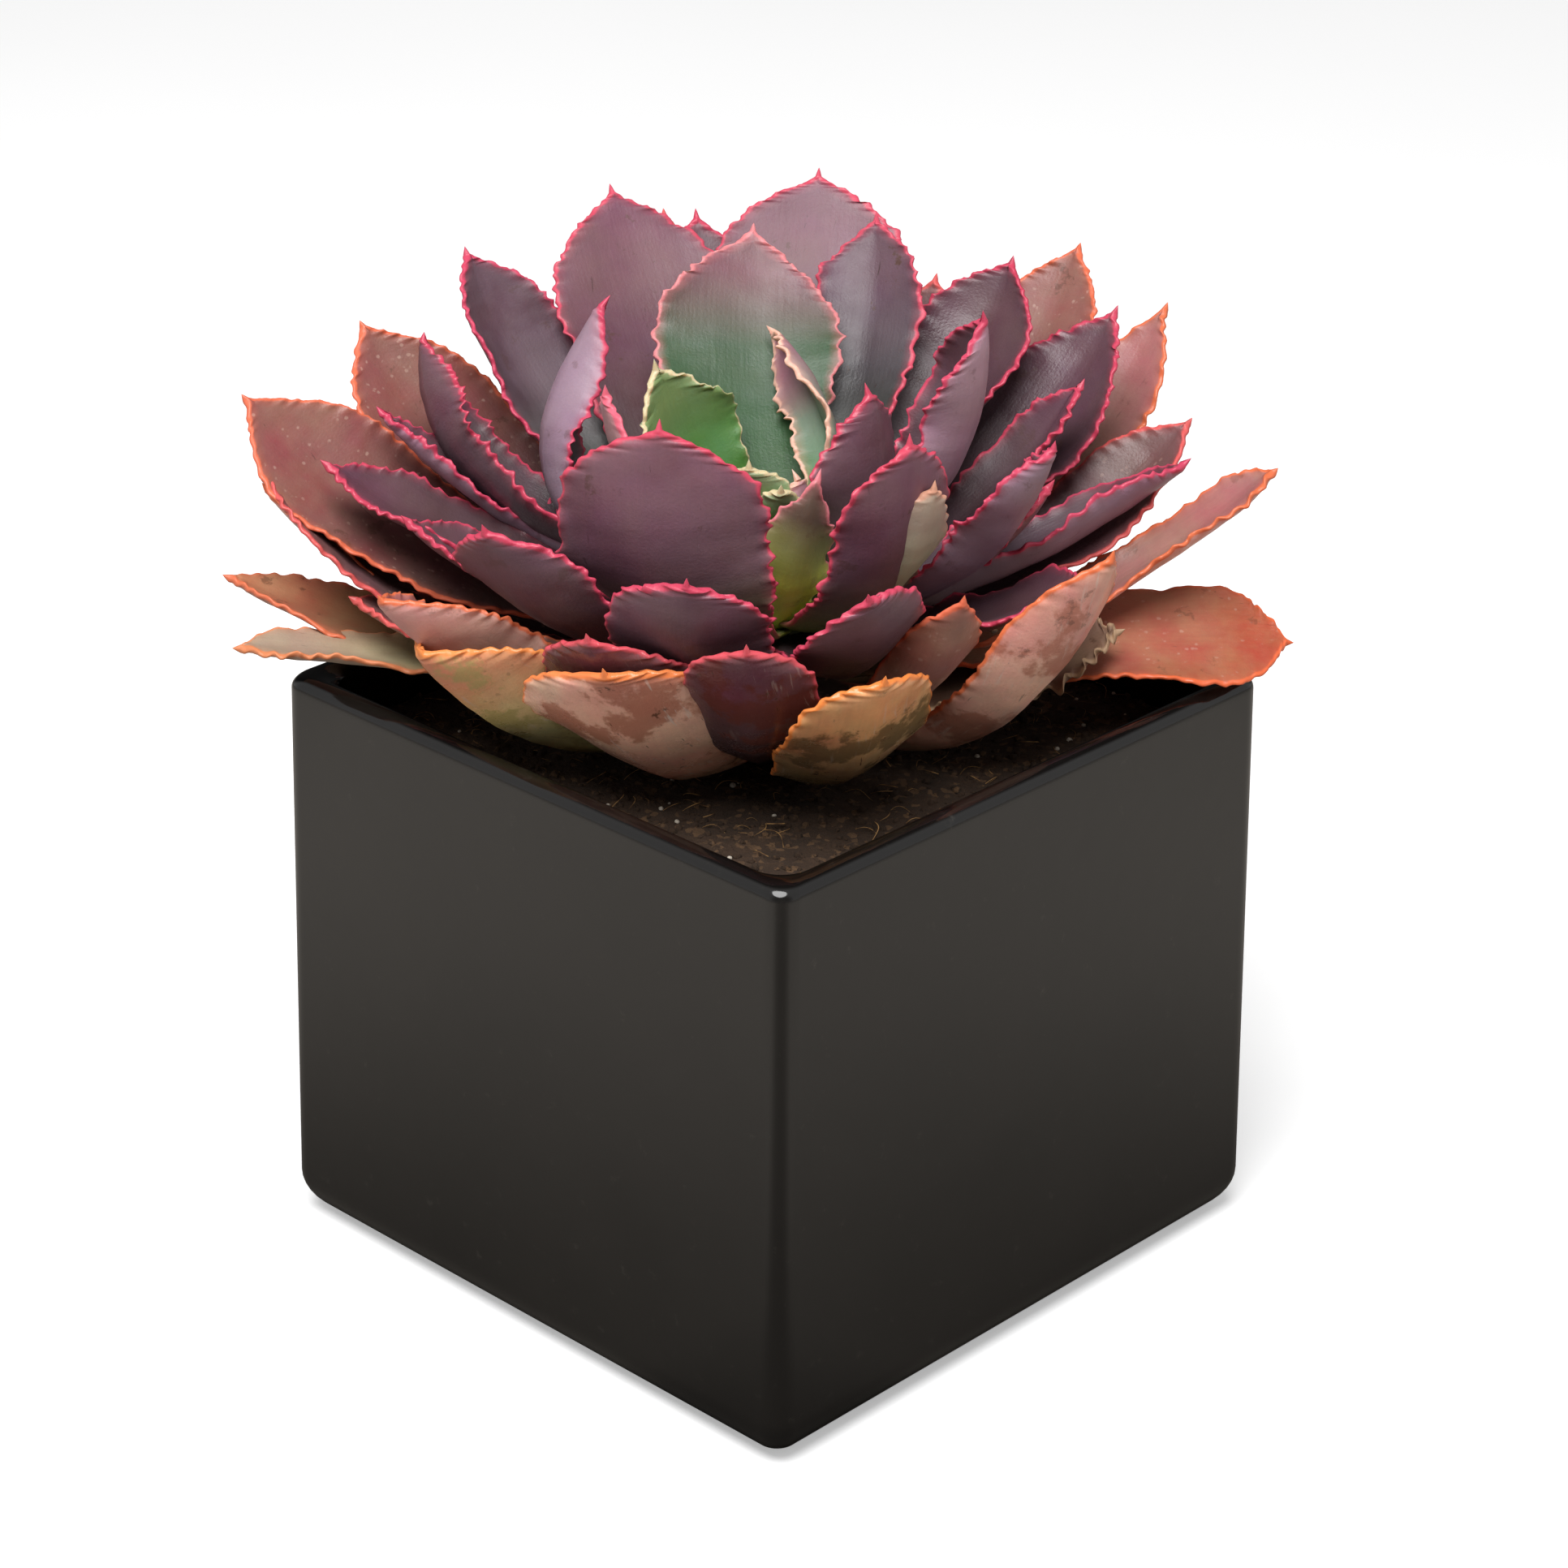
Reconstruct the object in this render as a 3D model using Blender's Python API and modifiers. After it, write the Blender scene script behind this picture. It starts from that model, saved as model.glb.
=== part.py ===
"""A crinkle-edged echeveria rosette rooted in peat, in a square glazed pot.

Metres, +Z up. The origin is the middle of the pot's flat underside. The pot's sides run along X and Y, and
one corner of it, at +X -Y, is the front. A leaf's place on the plant is given from that front corner.
"""

import math
from typing import NamedTuple

import bmesh
import bpy
from mathutils import Vector

MM = 0.001

# The pot: a slip-cast cube of glazed ceramic, open at the top and soft at the foot.
POT_RIM_SIDE = 152.5 * MM
POT_FOOT_SIDE = 156.5 * MM
POT_HEIGHT = 136 * MM
POT_WALL = 6.5 * MM
POT_FLOOR = 9 * MM
UPRIGHT_EDGE = 5 * MM
FOOT_EDGE = 11 * MM
UNDERSIDE_EDGE = 3 * MM
RIM_EDGE = 3 * MM
INNER_EDGE = 9 * MM
CORNER_STEPS = 4

# The peat: it fills the pot to a little below the rim and heaps up slightly round the stem.
PEAT_BELOW_RIM = 14 * MM
PEAT_HEAP = 1.5 * MM
PEAT_CLEAR = 0.6 * MM
PEAT_CELLS = 7

# The stem: short and thick, rooted in the peat. The leaves' bases clothe it in three tiers.
STEM_FOOT_RADIUS = 9 * MM
STEM_RADIUS = 13 * MM
STEM_ROOT_DEPTH = 26 * MM
TIER_TOPS = {"copper": 8 * MM, "plum": 27 * MM, "green": 37 * MM}
TIER_RADII = {"copper": 13 * MM, "plum": 11 * MM, "green": 8 * MM}

# Meeting pieces keep this much clear of each other.
GAP = 0.3 * MM

# The leaves' shape, which all of them share.
FRONT = math.radians(-46.3)
STATIONS = 8
CELLS_ACROSS = 4
WIDEST_AT = 0.7
MIDRIB_THICKNESS = 3.2 * MM
EDGE_THICKNESS = 0.9 * MM
TIP_HALF_WIDTH = 0.7 * MM
WAVES = 2.5
WAVE_HEIGHT = 1.3 * MM


class Leaf(NamedTuple):
    """One leaf. Lengths are in millimetres and heights are above the pot's rim; angles are in degrees."""

    tier: str  # the colour that the leaf has
    turn: float  # bearing of its tip from the front corner, to the right of it
    reach: float  # distance of its tip from the stem's axis
    lift: float  # height of its tip
    base: float  # height where it leaves the stem
    leave: float  # slope at which it leaves the stem
    width: float  # widest, measured over the curve
    fold: float  # how far each half turns up from the midrib
    roll: float = 0  # turn of the blade about the midrib, reached at the tip
    swing: float = 0  # bearing of its base, from its tip's
    bend: float = 0.5  # how far out it keeps its first slope
    start: float = 7  # how deep in the stem it begins
    foot: float = 0.42  # its width at the stem, as a share of the widest
    full: float = 3.4  # how full its end is, from 1 for a plain point
    neck: float = 1.4  # how long it stays narrow beyond the foot


LEAVES = [
    # The heart: young green leaves that stand close round the growing point.
    Leaf("green", -175, 65, 80, 30, 32, 42, 14, swing=8, full=1.65),
    Leaf("green", -120, 30, 65, 28, 26, 30, 40, roll=-10, swing=-10, full=2.2),
    Leaf("green", -179, 42, 64, 32, 48, 18, 75, roll=-60, swing=-70, start=6),
    Leaf("green", -20, 16, 54, 33, 50, 17, 40),
    Leaf("green", 52, 6, 47, 34, 60, 9, 30),
    Leaf("green", 4, 18, 50, 33, 50, 10, 40),
    Leaf("green", -76, 37, 68, 28.5, 20, 34, 14, bend=0.6, full=2.2),
    # The plum leaves, inner to outer.
    Leaf("plum", 174, 87, 86, 21, 22, 46, 12),
    Leaf("plum", 163, 76, 80, 22, 22, 28, 34, swing=-8),
    Leaf("plum", -156, 94, 82, 19, 18, 44, 14, full=2.8),
    Leaf("plum", -168, 91, 75, 14, 9, 34, 15),
    Leaf("plum", 142, 86, 72, 18, 12, 34, 50, bend=0.65),
    Leaf("plum", -27.5, 51, 74, 14, 6, 46, 24, roll=22, bend=0.65, start=11, foot=0.5, full=4.5),
    Leaf("plum", 35, 48, 69, 15, 10, 31, 24, roll=8, bend=0.6, foot=0.62, full=4.5),
    Leaf("plum", 42, 49, 58, 17, 9, 24, 50, roll=-10, bend=0.6),
    Leaf("plum", 62, 22, 69, 21, 28, 34, 40, roll=-10, bend=0.55, full=2.4),
    Leaf("plum", 20, 26, 55, 14, 20, 20, 40, swing=-20, bend=0.6, foot=0.9, full=1.6),
    Leaf("plum", 105, 46, 78, 21, 12, 34, 80, roll=-25, swing=10, bend=0.7, foot=0.3),
    Leaf("plum", -126, 47, 75, 21, 4, 25, 64, roll=32, swing=28, bend=1.0),
    Leaf("plum", -130, 91, 76, 18, 10, 33, 45, roll=5, bend=0.65, foot=0.6),
    Leaf("plum", -124, 60, 38, 14, 4, 30, 20),
    Leaf("plum", -111, 83, 66, 20, 4, 28, 70, roll=28, swing=10, bend=0.85),
    Leaf("plum", -104, 89, 52, 15, 6, 14, 70, roll=10, bend=0.6),
    Leaf("plum", -93, 97, 46, 13, 4, 26, 35, roll=-5, bend=0.55, foot=0.25, full=2.4, neck=2),
    Leaf("plum", -83, 79, 39, 11, -2, 24, 36, bend=0.55),
    Leaf("plum", -50, 77, 53, 12, 0, 37, 26, roll=18, bend=0.65),
    Leaf("plum", -14, 72, 50, 11, -2, 35, 24, roll=6, swing=-4, bend=0.72, foot=0.7, full=6.0),
    Leaf("plum", 127, 95, 64, 13, 6, 36, 35, roll=10, bend=0.6, full=2.2),
    Leaf("plum", 115, 74, 56, 15, 8, 20, 56, bend=0.6),
    Leaf("plum", 73, 61, 60, 16, 8, 28, 60, roll=-8, bend=0.65),
    Leaf("plum", 91, 59, 44, 13, 4, 24, 30, bend=0.55),
    Leaf("plum", 103, 92, 42, 11, 2, 22, 60, roll=-20),
    Leaf("plum", 15, 74, 48, 12, 0, 30, 32, roll=14, swing=8, bend=0.65, foot=0.6, full=4.0),
    Leaf("plum", 72, 69, 32, 10, 0, 26, 30, bend=0.55),
    # The old copper leaves, the lowest of which lie over the peat and the rim.
    Leaf("copper", -165, 103, 72, 4, 7, 26, 15),
    Leaf("copper", 156, 89, 63, 4, 10, 30, 15),
    Leaf("copper", 172, 112, 42, 2, 4, 34, 20),
    Leaf("copper", -166, 112, 36, -1, -2, 34, 20),
    Leaf("copper", -143, 104, 24, -2, 0, 34, 22),
    Leaf("copper", 150, 110, 30, -2, 0, 36, 22),
    Leaf("copper", 178, 108, 12, -6, 4, 34, 20),
    Leaf("copper", -118, 105, 62, 0, 12, 38, 28, roll=-22, bend=0.6, full=2.6),
    Leaf("copper", -99, 117, 56, 0, 9, 38, 28, roll=-28, bend=0.6, foot=0.25, full=2.6, neck=2),
    Leaf("copper", -93, 111, 43, -1, -4, 29, 32, roll=-8, bend=0.55),
    Leaf("copper", -97, 112, 37, -4, -7, 27, 44, roll=6, bend=0.55),
    Leaf("copper", -102, 106, 25, -5, -8, 22, 30, roll=6, bend=0.55),
    Leaf("copper", -85, 91, 20, -3, 0, 26, 30, bend=0.55),
    Leaf("copper", -94, 120, 18, -6, -1, 26, 28),
    Leaf("copper", -83, 116, 11, -6, 12, 19, 26, foot=0.8, full=5),
    Leaf("copper", -30, 75, 36, 0, -8, 38, 35, roll=12, bend=0.65),
    Leaf("copper", -4, 75, 38, -1, -14, 29, 34, bend=0.65, full=7),
    Leaf("copper", -27, 75, 29, -7, -17, 48, 34, roll=16, bend=0.6, start=8, foot=0.2, full=7, neck=2.4),
    Leaf("copper", -57, 87, 25, -7, -12, 46, 62, roll=20, bend=0.6, start=8, foot=0.25, full=4, neck=2.0),
    Leaf("copper", -62, 92, 35, 0, -4, 40, 60, roll=20, bend=0.65),
    Leaf("copper", 144, 119, 66, 4.5, 6, 31, 30, bend=0.6),
    Leaf("copper", 131, 118, 58, 1, -3, 23, 30, roll=6, bend=0.6),
    Leaf("copper", 111, 98, 46, 3, 1, 26, 40, roll=18, bend=0.55),
    Leaf("copper", 98, 110, 42.5, -3, 2, 17, 45, roll=4, full=9),
    Leaf("copper", 93, 113, 6, -1, 11, 33, 12, roll=20, foot=0.25, full=5, neck=2),
    Leaf("copper", 84, 75, 14, -7, 4, 28, 24, roll=16),
    Leaf("copper", 58, 82, 46, -7, -14, 34, 50, roll=-16, bend=0.6, start=8, foot=0.25, neck=2.0),
    Leaf("copper", 36, 66, 40, 1, -6, 22, 50, roll=-12, bend=0.65),
    Leaf("copper", 17, 77, 31, -7, -15, 35, 34, roll=10, bend=0.6, start=8, foot=0.2, full=6, neck=2.4),
]


def new_object(name, mesh_builder, collection):
    """A mesh object in collection, whose mesh comes from a function that fills a bmesh."""
    mesh = bpy.data.meshes.new(name)
    bm = bmesh.new()
    mesh_builder(bm)
    bmesh.ops.recalc_face_normals(bm, faces=bm.faces)
    bm.to_mesh(mesh)
    bm.free()
    made = bpy.data.objects.new(name, mesh)
    collection.objects.link(made)
    return made


def apply_modifiers(piece):
    graph = bpy.context.evaluated_depsgraph_get()
    finished = bpy.data.meshes.new_from_object(piece.evaluated_get(graph))
    piece.modifiers.clear()
    old = piece.data
    piece.data = finished
    bpy.data.meshes.remove(old)


def keep_outer_skin(piece):
    """Keeps only the widest connected surface, so small hollows closed off by joined leaves are filled."""
    bm = bmesh.new()
    bm.from_mesh(piece.data)
    unseen = set(bm.verts)
    skins = []
    while unseen:
        skin = {unseen.pop()}
        front = list(skin)
        while front:
            near = {edge.other_vert(vertex) for vertex in front for edge in vertex.link_edges} - skin
            skin |= near
            front = list(near)
        unseen -= skin
        skins.append(skin)
    outer = max(skins, key=len)
    bmesh.ops.delete(bm, geom=[vertex for vertex in bm.verts if vertex not in outer], context="VERTS")
    bm.to_mesh(piece.data)
    bm.free()


def material(name, colour, roughness):
    made = bpy.data.materials.new(name)
    made.use_nodes = True
    surface = made.node_tree.nodes["Principled BSDF"]
    surface.inputs["Base Color"].default_value = (*colour, 1)
    surface.inputs["Roughness"].default_value = roughness
    return made


def half_side(height):
    """Half the pot's side at a height, without the rounding of its foot and rim."""
    share = height / POT_HEIGHT
    return (POT_FOOT_SIDE + (POT_RIM_SIDE - POT_FOOT_SIDE) * share) / 2


def rounded_square(bm, inset, corner, height):
    """A ring of vertices on the pot's square outline at a height, set in from it and round at the corners."""
    centre = half_side(height) - inset - corner
    ring = []
    for right, back in ((1, 1), (-1, 1), (-1, -1), (1, -1)):
        for step in range(CORNER_STEPS + 1):
            angle = math.atan2(back, right) + math.radians(90) * (step / CORNER_STEPS - 0.5)
            x = right * centre + corner * math.cos(angle)
            y = back * centre + corner * math.sin(angle)
            ring.append(bm.verts.new((x, y, height)))
    return ring


def loft(bm, rings):
    """The skin over a row of rings, closed flat at both ends."""
    for lower, upper in zip(rings, rings[1:]):
        for index, vertex in enumerate(lower):
            bm.faces.new((lower[index - 1], vertex, upper[index], upper[index - 1]))
    bm.faces.new(rings[0])
    bm.faces.new(rings[-1])


def build_pot(collection):
    """One skin: up the outside from the foot, over the rim, and down the inside to the floor."""

    def skin(bm):
        rings = []
        for step in range(5):
            angle = math.radians(90) * step / 4
            inset = FOOT_EDGE * (1 - math.sin(angle))
            corner = UNDERSIDE_EDGE + (UPRIGHT_EDGE - UNDERSIDE_EDGE) * math.sin(angle)
            rings.append((inset, corner, FOOT_EDGE * (1 - math.cos(angle))))
        for step in range(4):
            angle = math.radians(90) * step / 3
            inset = RIM_EDGE * (1 - math.cos(angle))
            height = POT_HEIGHT - RIM_EDGE * (1 - math.sin(angle))
            rings.append((inset, UPRIGHT_EDGE - inset, height))
        for step in range(4):
            angle = math.radians(90) * (1 - step / 3)
            inset = POT_WALL - RIM_EDGE * (1 - math.cos(angle))
            height = POT_HEIGHT - RIM_EDGE * (1 - math.sin(angle))
            rings.append((inset, INNER_EDGE * inset / POT_WALL, height))
        rings.append((POT_WALL, INNER_EDGE, POT_FLOOR))
        loft(bm, [rounded_square(bm, *ring) for ring in rings])

    return new_object("pot", skin, collection)


def peat_height(x, y):
    """The peat's surface: uneven by a millimetre or so, and a little higher at the stem."""
    lumps = math.sin(x * 210 + 1.0) * math.cos(y * 170 - 0.5) + 0.6 * math.sin(x * 90 - y * 130)
    heap = math.exp(-(x * x + y * y) / (30 * MM) ** 2)
    return POT_HEIGHT - PEAT_BELOW_RIM + 0.6 * MM * lumps + PEAT_HEAP * heap


def build_peat(collection, cutters):
    low = POT_FLOOR + GAP
    low_side = 2 * (half_side(low) - POT_WALL - PEAT_CLEAR)
    top_side = 2 * (half_side(POT_HEIGHT - PEAT_BELOW_RIM) - POT_WALL - PEAT_CLEAR)

    def block(bm):
        bmesh.ops.create_grid(bm, x_segments=PEAT_CELLS, y_segments=PEAT_CELLS, size=0.5)
        flat = [face for face in bm.faces]
        sunk = bmesh.ops.extrude_face_region(bm, geom=flat, use_keep_orig=True)
        below = {item for item in sunk["geom"] if isinstance(item, bmesh.types.BMVert)}
        for vertex in bm.verts:
            x, y = vertex.co.x, vertex.co.y
            side = low_side if vertex in below else top_side
            vertex.co = Vector((x * side, y * side, 0))
            vertex.co.z = low if vertex in below else peat_height(vertex.co.x, vertex.co.y)
        floor = [face for face in bm.faces if all(v in below for v in face.verts)]
        bmesh.ops.dissolve_faces(bm, faces=floor)
        near = top_side / 2 - 1 * MM
        corners = [
            edge for edge in bm.edges if all(min(abs(end.co.x), abs(end.co.y)) > near for end in edge.verts)
        ]
        bmesh.ops.bevel(bm, geom=corners, offset=INNER_EDGE, segments=2, profile=0.5, affect="EDGES")

    def hole(bm):
        top = POT_HEIGHT
        foot = POT_HEIGHT - PEAT_BELOW_RIM - STEM_ROOT_DEPTH - GAP
        cone = bmesh.ops.create_cone(
            bm,
            cap_ends=True,
            segments=24,
            radius1=STEM_FOOT_RADIUS + GAP,
            radius2=STEM_RADIUS + GAP + 1 * MM,
            depth=top - foot,
        )
        bmesh.ops.translate(bm, verts=cone["verts"], vec=(0, 0, (top + foot) / 2))

    peat = new_object("peat", block, collection)
    cutter = new_object("peat_hole", hole, cutters)
    cut = peat.modifiers.new("hole", "BOOLEAN")
    cut.object = cutter
    apply_modifiers(peat)
    bpy.data.objects.remove(cutter)
    return peat


def build_stem(collection):
    """The rooted foot of the stem, up to the lowest leaves."""
    top = POT_HEIGHT + min(leaf.base for leaf in LEAVES) * MM - 2.5 * MM
    foot = POT_HEIGHT - PEAT_BELOW_RIM - STEM_ROOT_DEPTH

    def plug(bm):
        cone = bmesh.ops.create_cone(
            bm, cap_ends=True, segments=24, radius1=STEM_FOOT_RADIUS, radius2=STEM_RADIUS, depth=top - foot
        )
        bmesh.ops.translate(bm, verts=cone["verts"], vec=(0, 0, (top + foot) / 2))

    return new_object("stem", plug, collection), top


def width_share(leaf, along):
    """The blade's width along the midrib: narrow at the stem, widest past the middle, then a full point."""
    if along < WIDEST_AT:
        rise = math.sin(math.pi / 2 * along / WIDEST_AT) ** leaf.neck
        return leaf.foot + (1 - leaf.foot) * rise
    return 1 - ((along - WIDEST_AT) / (1 - WIDEST_AT)) ** leaf.full


def outward(bearing):
    """The level direction away from the stem at a bearing from the front corner."""
    angle = FRONT + math.radians(bearing)
    return Vector((math.cos(angle), math.sin(angle), 0))


def leaf_point(leaf, along, across, number):
    """A point of the mid-surface: along 0..1 from the stem to the tip, across -1..1 between the edges."""
    base_way = outward(leaf.turn + leaf.swing)
    root = base_way * leaf.start * MM + Vector((0, 0, POT_HEIGHT + leaf.base * MM))
    tip = outward(leaf.turn) * leaf.reach * MM + Vector((0, 0, POT_HEIGHT + leaf.lift * MM))
    slope = math.radians(leaf.leave)
    pull = (tip - root).length * leaf.bend
    middle = root + (base_way * math.cos(slope) + Vector((0, 0, math.sin(slope)))) * pull
    rest = 1 - along
    rib = root * rest**2 + middle * (2 * along * rest) + tip * along**2
    forward = ((middle - root) * rest + (tip - middle) * along).normalized()
    sideways = outward(leaf.turn + leaf.swing / 2 + 90)
    side = (sideways - forward * forward.dot(sideways)).normalized()
    inward = forward.cross(side)
    roll = math.radians(leaf.roll) * (3 - 2 * along) * along**2
    side, inward = (
        side * math.cos(roll) + inward * math.sin(roll),
        inward * math.cos(roll) - side * math.sin(roll),
    )
    half = max(leaf.width / 2 * MM * width_share(leaf, along), TIP_HALF_WIDTH)
    fold = math.radians(leaf.fold) * (1.1 - 0.35 * along)
    crease, curl = 0.35 * fold, 0.65 * fold
    edge = abs(across)
    sign = math.copysign(1, across) if across else 0
    turn = crease + curl * edge
    out = half * (math.sin(turn) - math.sin(crease)) / curl
    up = half * (math.cos(crease) - math.cos(turn)) / curl
    swell = math.sin(math.pi * min(max((along - 0.12) / 0.88, 0), 1)) ** 0.6
    phase = 1.7 * number + 1.1 * sign
    wave = WAVE_HEIGHT * swell * edge**2.5 * math.sin(math.tau * WAVES * along + phase)
    return rib + side * sign * (out - wave * math.sin(turn)) + inward * (up + wave * math.cos(turn))


def build_leaf(leaf, number, collection):
    """One leaf: a grid laid along the midrib, closest at the tip, and thickened most at the midrib."""

    def blade(bm):
        bmesh.ops.create_grid(bm, x_segments=STATIONS, y_segments=CELLS_ACROSS, size=0.5)
        weights = bm.verts.layers.deform.verify()
        for vertex in bm.verts:
            along = math.sin(math.radians(90) * (vertex.co.x + 0.5))
            across = 2 * vertex.co.y
            body = (1 - across**2) * (1 - 0.55 * along)
            thickness = EDGE_THICKNESS + (MIDRIB_THICKNESS - EDGE_THICKNESS) * body
            vertex[weights][0] = thickness / MIDRIB_THICKNESS
            vertex.co = leaf_point(leaf, along, across, number)
        bmesh.ops.triangulate(bm, faces=bm.faces)

    piece = new_object(f"leaf_{number}", blade, collection)
    piece.vertex_groups.new(name="thickness")
    thick = piece.modifiers.new("thickness", "SOLIDIFY")
    thick.thickness = MIDRIB_THICKNESS
    thick.offset = 0
    thick.vertex_group = "thickness"
    apply_modifiers(piece)
    return piece


def build_tier(name, tier, bottom, collection, scene_collection):
    """All leaves of one colour, grown together with the length of stem that they clothe."""
    top = POT_HEIGHT + TIER_TOPS[tier] - (0 if tier == "green" else GAP)

    def collar(bm):
        cone = bmesh.ops.create_cone(
            bm,
            cap_ends=True,
            segments=16,
            radius1=TIER_RADII[tier],
            radius2=TIER_RADII[tier] - 2 * MM,
            depth=top - bottom,
        )
        bmesh.ops.translate(bm, verts=cone["verts"], vec=(0, 0, (top + bottom) / 2))

    joined = new_object(name, collar, collection)
    loose = bpy.data.collections.new(f"{tier}_leaves_loose")
    scene_collection.children.link(loose)
    for number, leaf in enumerate(LEAVES):
        if leaf.tier == tier:
            build_leaf(leaf, number, loose)
    fuse = joined.modifiers.new("fuse", "BOOLEAN")
    fuse.operation = "UNION"
    fuse.operand_type = "COLLECTION"
    fuse.collection = loose
    fuse.solver = "MANIFOLD"
    apply_modifiers(joined)
    keep_outer_skin(joined)
    for piece in list(loose.objects):
        bpy.data.objects.remove(piece)
    bpy.data.collections.remove(loose)
    return joined, top + GAP


def main():
    for old in list(bpy.data.objects):
        bpy.data.objects.remove(old)
    scene_collection = bpy.context.scene.collection
    plant = bpy.data.collections.new("potted_echeveria")
    scene_collection.children.link(plant)
    cutters = bpy.data.collections.new("cutters")
    cutters.hide_render = True
    scene_collection.children.link(cutters)

    pot = build_pot(plant)
    peat = build_peat(plant, cutters)
    stem, stem_top = build_stem(plant)
    copper, level = build_tier("copper_leaves", "copper", stem_top + GAP, plant, scene_collection)
    plum, level = build_tier("plum_leaves", "plum", level, plant, scene_collection)
    green, level = build_tier("green_leaves", "green", level, plant, scene_collection)

    looks = (
        (pot, "glazed_black", (0.045, 0.041, 0.036), 0.22),
        (peat, "peat", (0.035, 0.022, 0.014), 0.95),
        (stem, "woody_stem", (0.16, 0.11, 0.07), 0.8),
        (copper, "copper_leaf", (0.36, 0.13, 0.075), 0.5),
        (plum, "plum_leaf", (0.14, 0.055, 0.075), 0.5),
        (green, "green_leaf", (0.13, 0.24, 0.12), 0.5),
    )
    for piece, name, colour, roughness in looks:
        piece.data.materials.clear()
        piece.data.materials.append(material(name, colour, roughness))
        piece.data.shade_smooth()
        piece.data.set_sharp_from_angle(angle=math.radians(40))


main()
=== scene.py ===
import math

import bmesh
import bpy
from mathutils import Matrix, Vector


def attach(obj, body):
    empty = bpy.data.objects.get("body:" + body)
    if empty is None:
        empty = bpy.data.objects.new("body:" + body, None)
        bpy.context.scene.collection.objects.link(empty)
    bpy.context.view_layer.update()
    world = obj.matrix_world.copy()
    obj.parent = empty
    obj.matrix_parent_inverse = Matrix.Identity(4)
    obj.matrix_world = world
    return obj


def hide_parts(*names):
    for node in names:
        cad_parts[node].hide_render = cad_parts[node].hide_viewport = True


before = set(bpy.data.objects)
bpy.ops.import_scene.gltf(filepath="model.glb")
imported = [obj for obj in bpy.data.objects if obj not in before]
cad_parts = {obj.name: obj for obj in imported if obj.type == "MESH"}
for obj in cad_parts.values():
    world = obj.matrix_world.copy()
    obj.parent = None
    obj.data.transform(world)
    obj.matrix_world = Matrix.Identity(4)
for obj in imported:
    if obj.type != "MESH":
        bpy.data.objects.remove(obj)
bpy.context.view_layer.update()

# The pot: one slip-cast ceramic cube with a soft foot and a rounded rim, under a glossy black glaze.
# It is cast hollow in a plaster mould, glazed all over and fired, and it stands on its flat underside.
MM = 0.001
POT_RIM_SIDE = 152.5 * MM
POT_FOOT_SIDE = 156.5 * MM
POT_HEIGHT = 136 * MM
POT_WALL = 6.5 * MM
POT_FLOOR = 9 * MM
UPRIGHT_EDGE = 5 * MM
FOOT_EDGE = 11 * MM
UNDERSIDE_EDGE = 3 * MM
UNDERSIDE_RING = 6 * MM
RIM_EDGE = 3 * MM
INNER_EDGE = 9 * MM
WALL_LEVELS = (40 * MM, 70 * MM, 100 * MM)
EDGE_LINE = 0.8 * MM
SIDE_STEPS = 12
ARC_STEPS = 10
QUARTER_ARC = [math.pi / 2 * step / ARC_STEPS for step in range(ARC_STEPS + 1)]
GLAZE_RIPPLE = 0.12 * MM


def tone(code):
    """A colour from its six-figure code, as a renderer's linear colour."""
    parts = [int(code[i : i + 2], 16) / 255 for i in (0, 2, 4)]
    return (*[c / 12.92 if c < 0.04045 else ((c + 0.055) / 1.055) ** 2.4 for c in parts], 1)


class Term:
    """A socket of a node tree, on which sums add Math nodes, or Vector Math nodes on an arrow."""

    def __init__(self, web, socket, arrow=False):
        self.web = web
        self.socket = socket
        self.arrow = arrow

    def sum_with(self, operation, first, second):
        """The node for one of Python's own signs."""
        if self.arrow or (isinstance(second, Term) and second.arrow):
            kind = "ShaderNodeVectorMath"
        else:
            kind = "ShaderNodeMath"
        return self.web.add(kind, {0: first, 1: second}, operation=operation)

    def __add__(self, other):
        return self.sum_with("ADD", self, other)

    def __radd__(self, other):
        return self.sum_with("ADD", other, self)

    def __sub__(self, other):
        return self.sum_with("SUBTRACT", self, other)

    def __rsub__(self, other):
        return self.sum_with("SUBTRACT", other, self)

    def __mul__(self, other):
        if self.arrow and not (isinstance(other, Term) and other.arrow):
            return self.web.add("ShaderNodeVectorMath", {0: self, "Scale": other}, operation="SCALE")
        return self.sum_with("MULTIPLY", self, other)

    __rmul__ = __mul__

    def __truediv__(self, other):
        return self.sum_with("DIVIDE", self, other)

    def __rtruediv__(self, other):
        return self.sum_with("DIVIDE", other, self)

    def __pow__(self, other):
        return self.sum_with("POWER", self, other)

    def do(self, operation, *others):
        """Any other operation of the Math node, or of the Vector Math node on an arrow."""
        kind = "ShaderNodeVectorMath" if self.arrow else "ShaderNodeMath"
        out = 1 if operation in ("DOT_PRODUCT", "LENGTH") else 0
        return self.web.add(kind, dict(enumerate((self, *others))), out=out, operation=operation)

    def clamp(self, low=0, high=1):
        """Keeps the value between two bounds."""
        return self.do("MAXIMUM", low).do("MINIMUM", high)

    def fade(self, start, end):
        """Goes smoothly from 0 to 1 as the value goes from start to end."""
        return self.web.add(
            "ShaderNodeMapRange",
            {"Value": self, "From Min": start, "From Max": end},
            interpolation_type="SMOOTHSTEP",
        )


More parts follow.
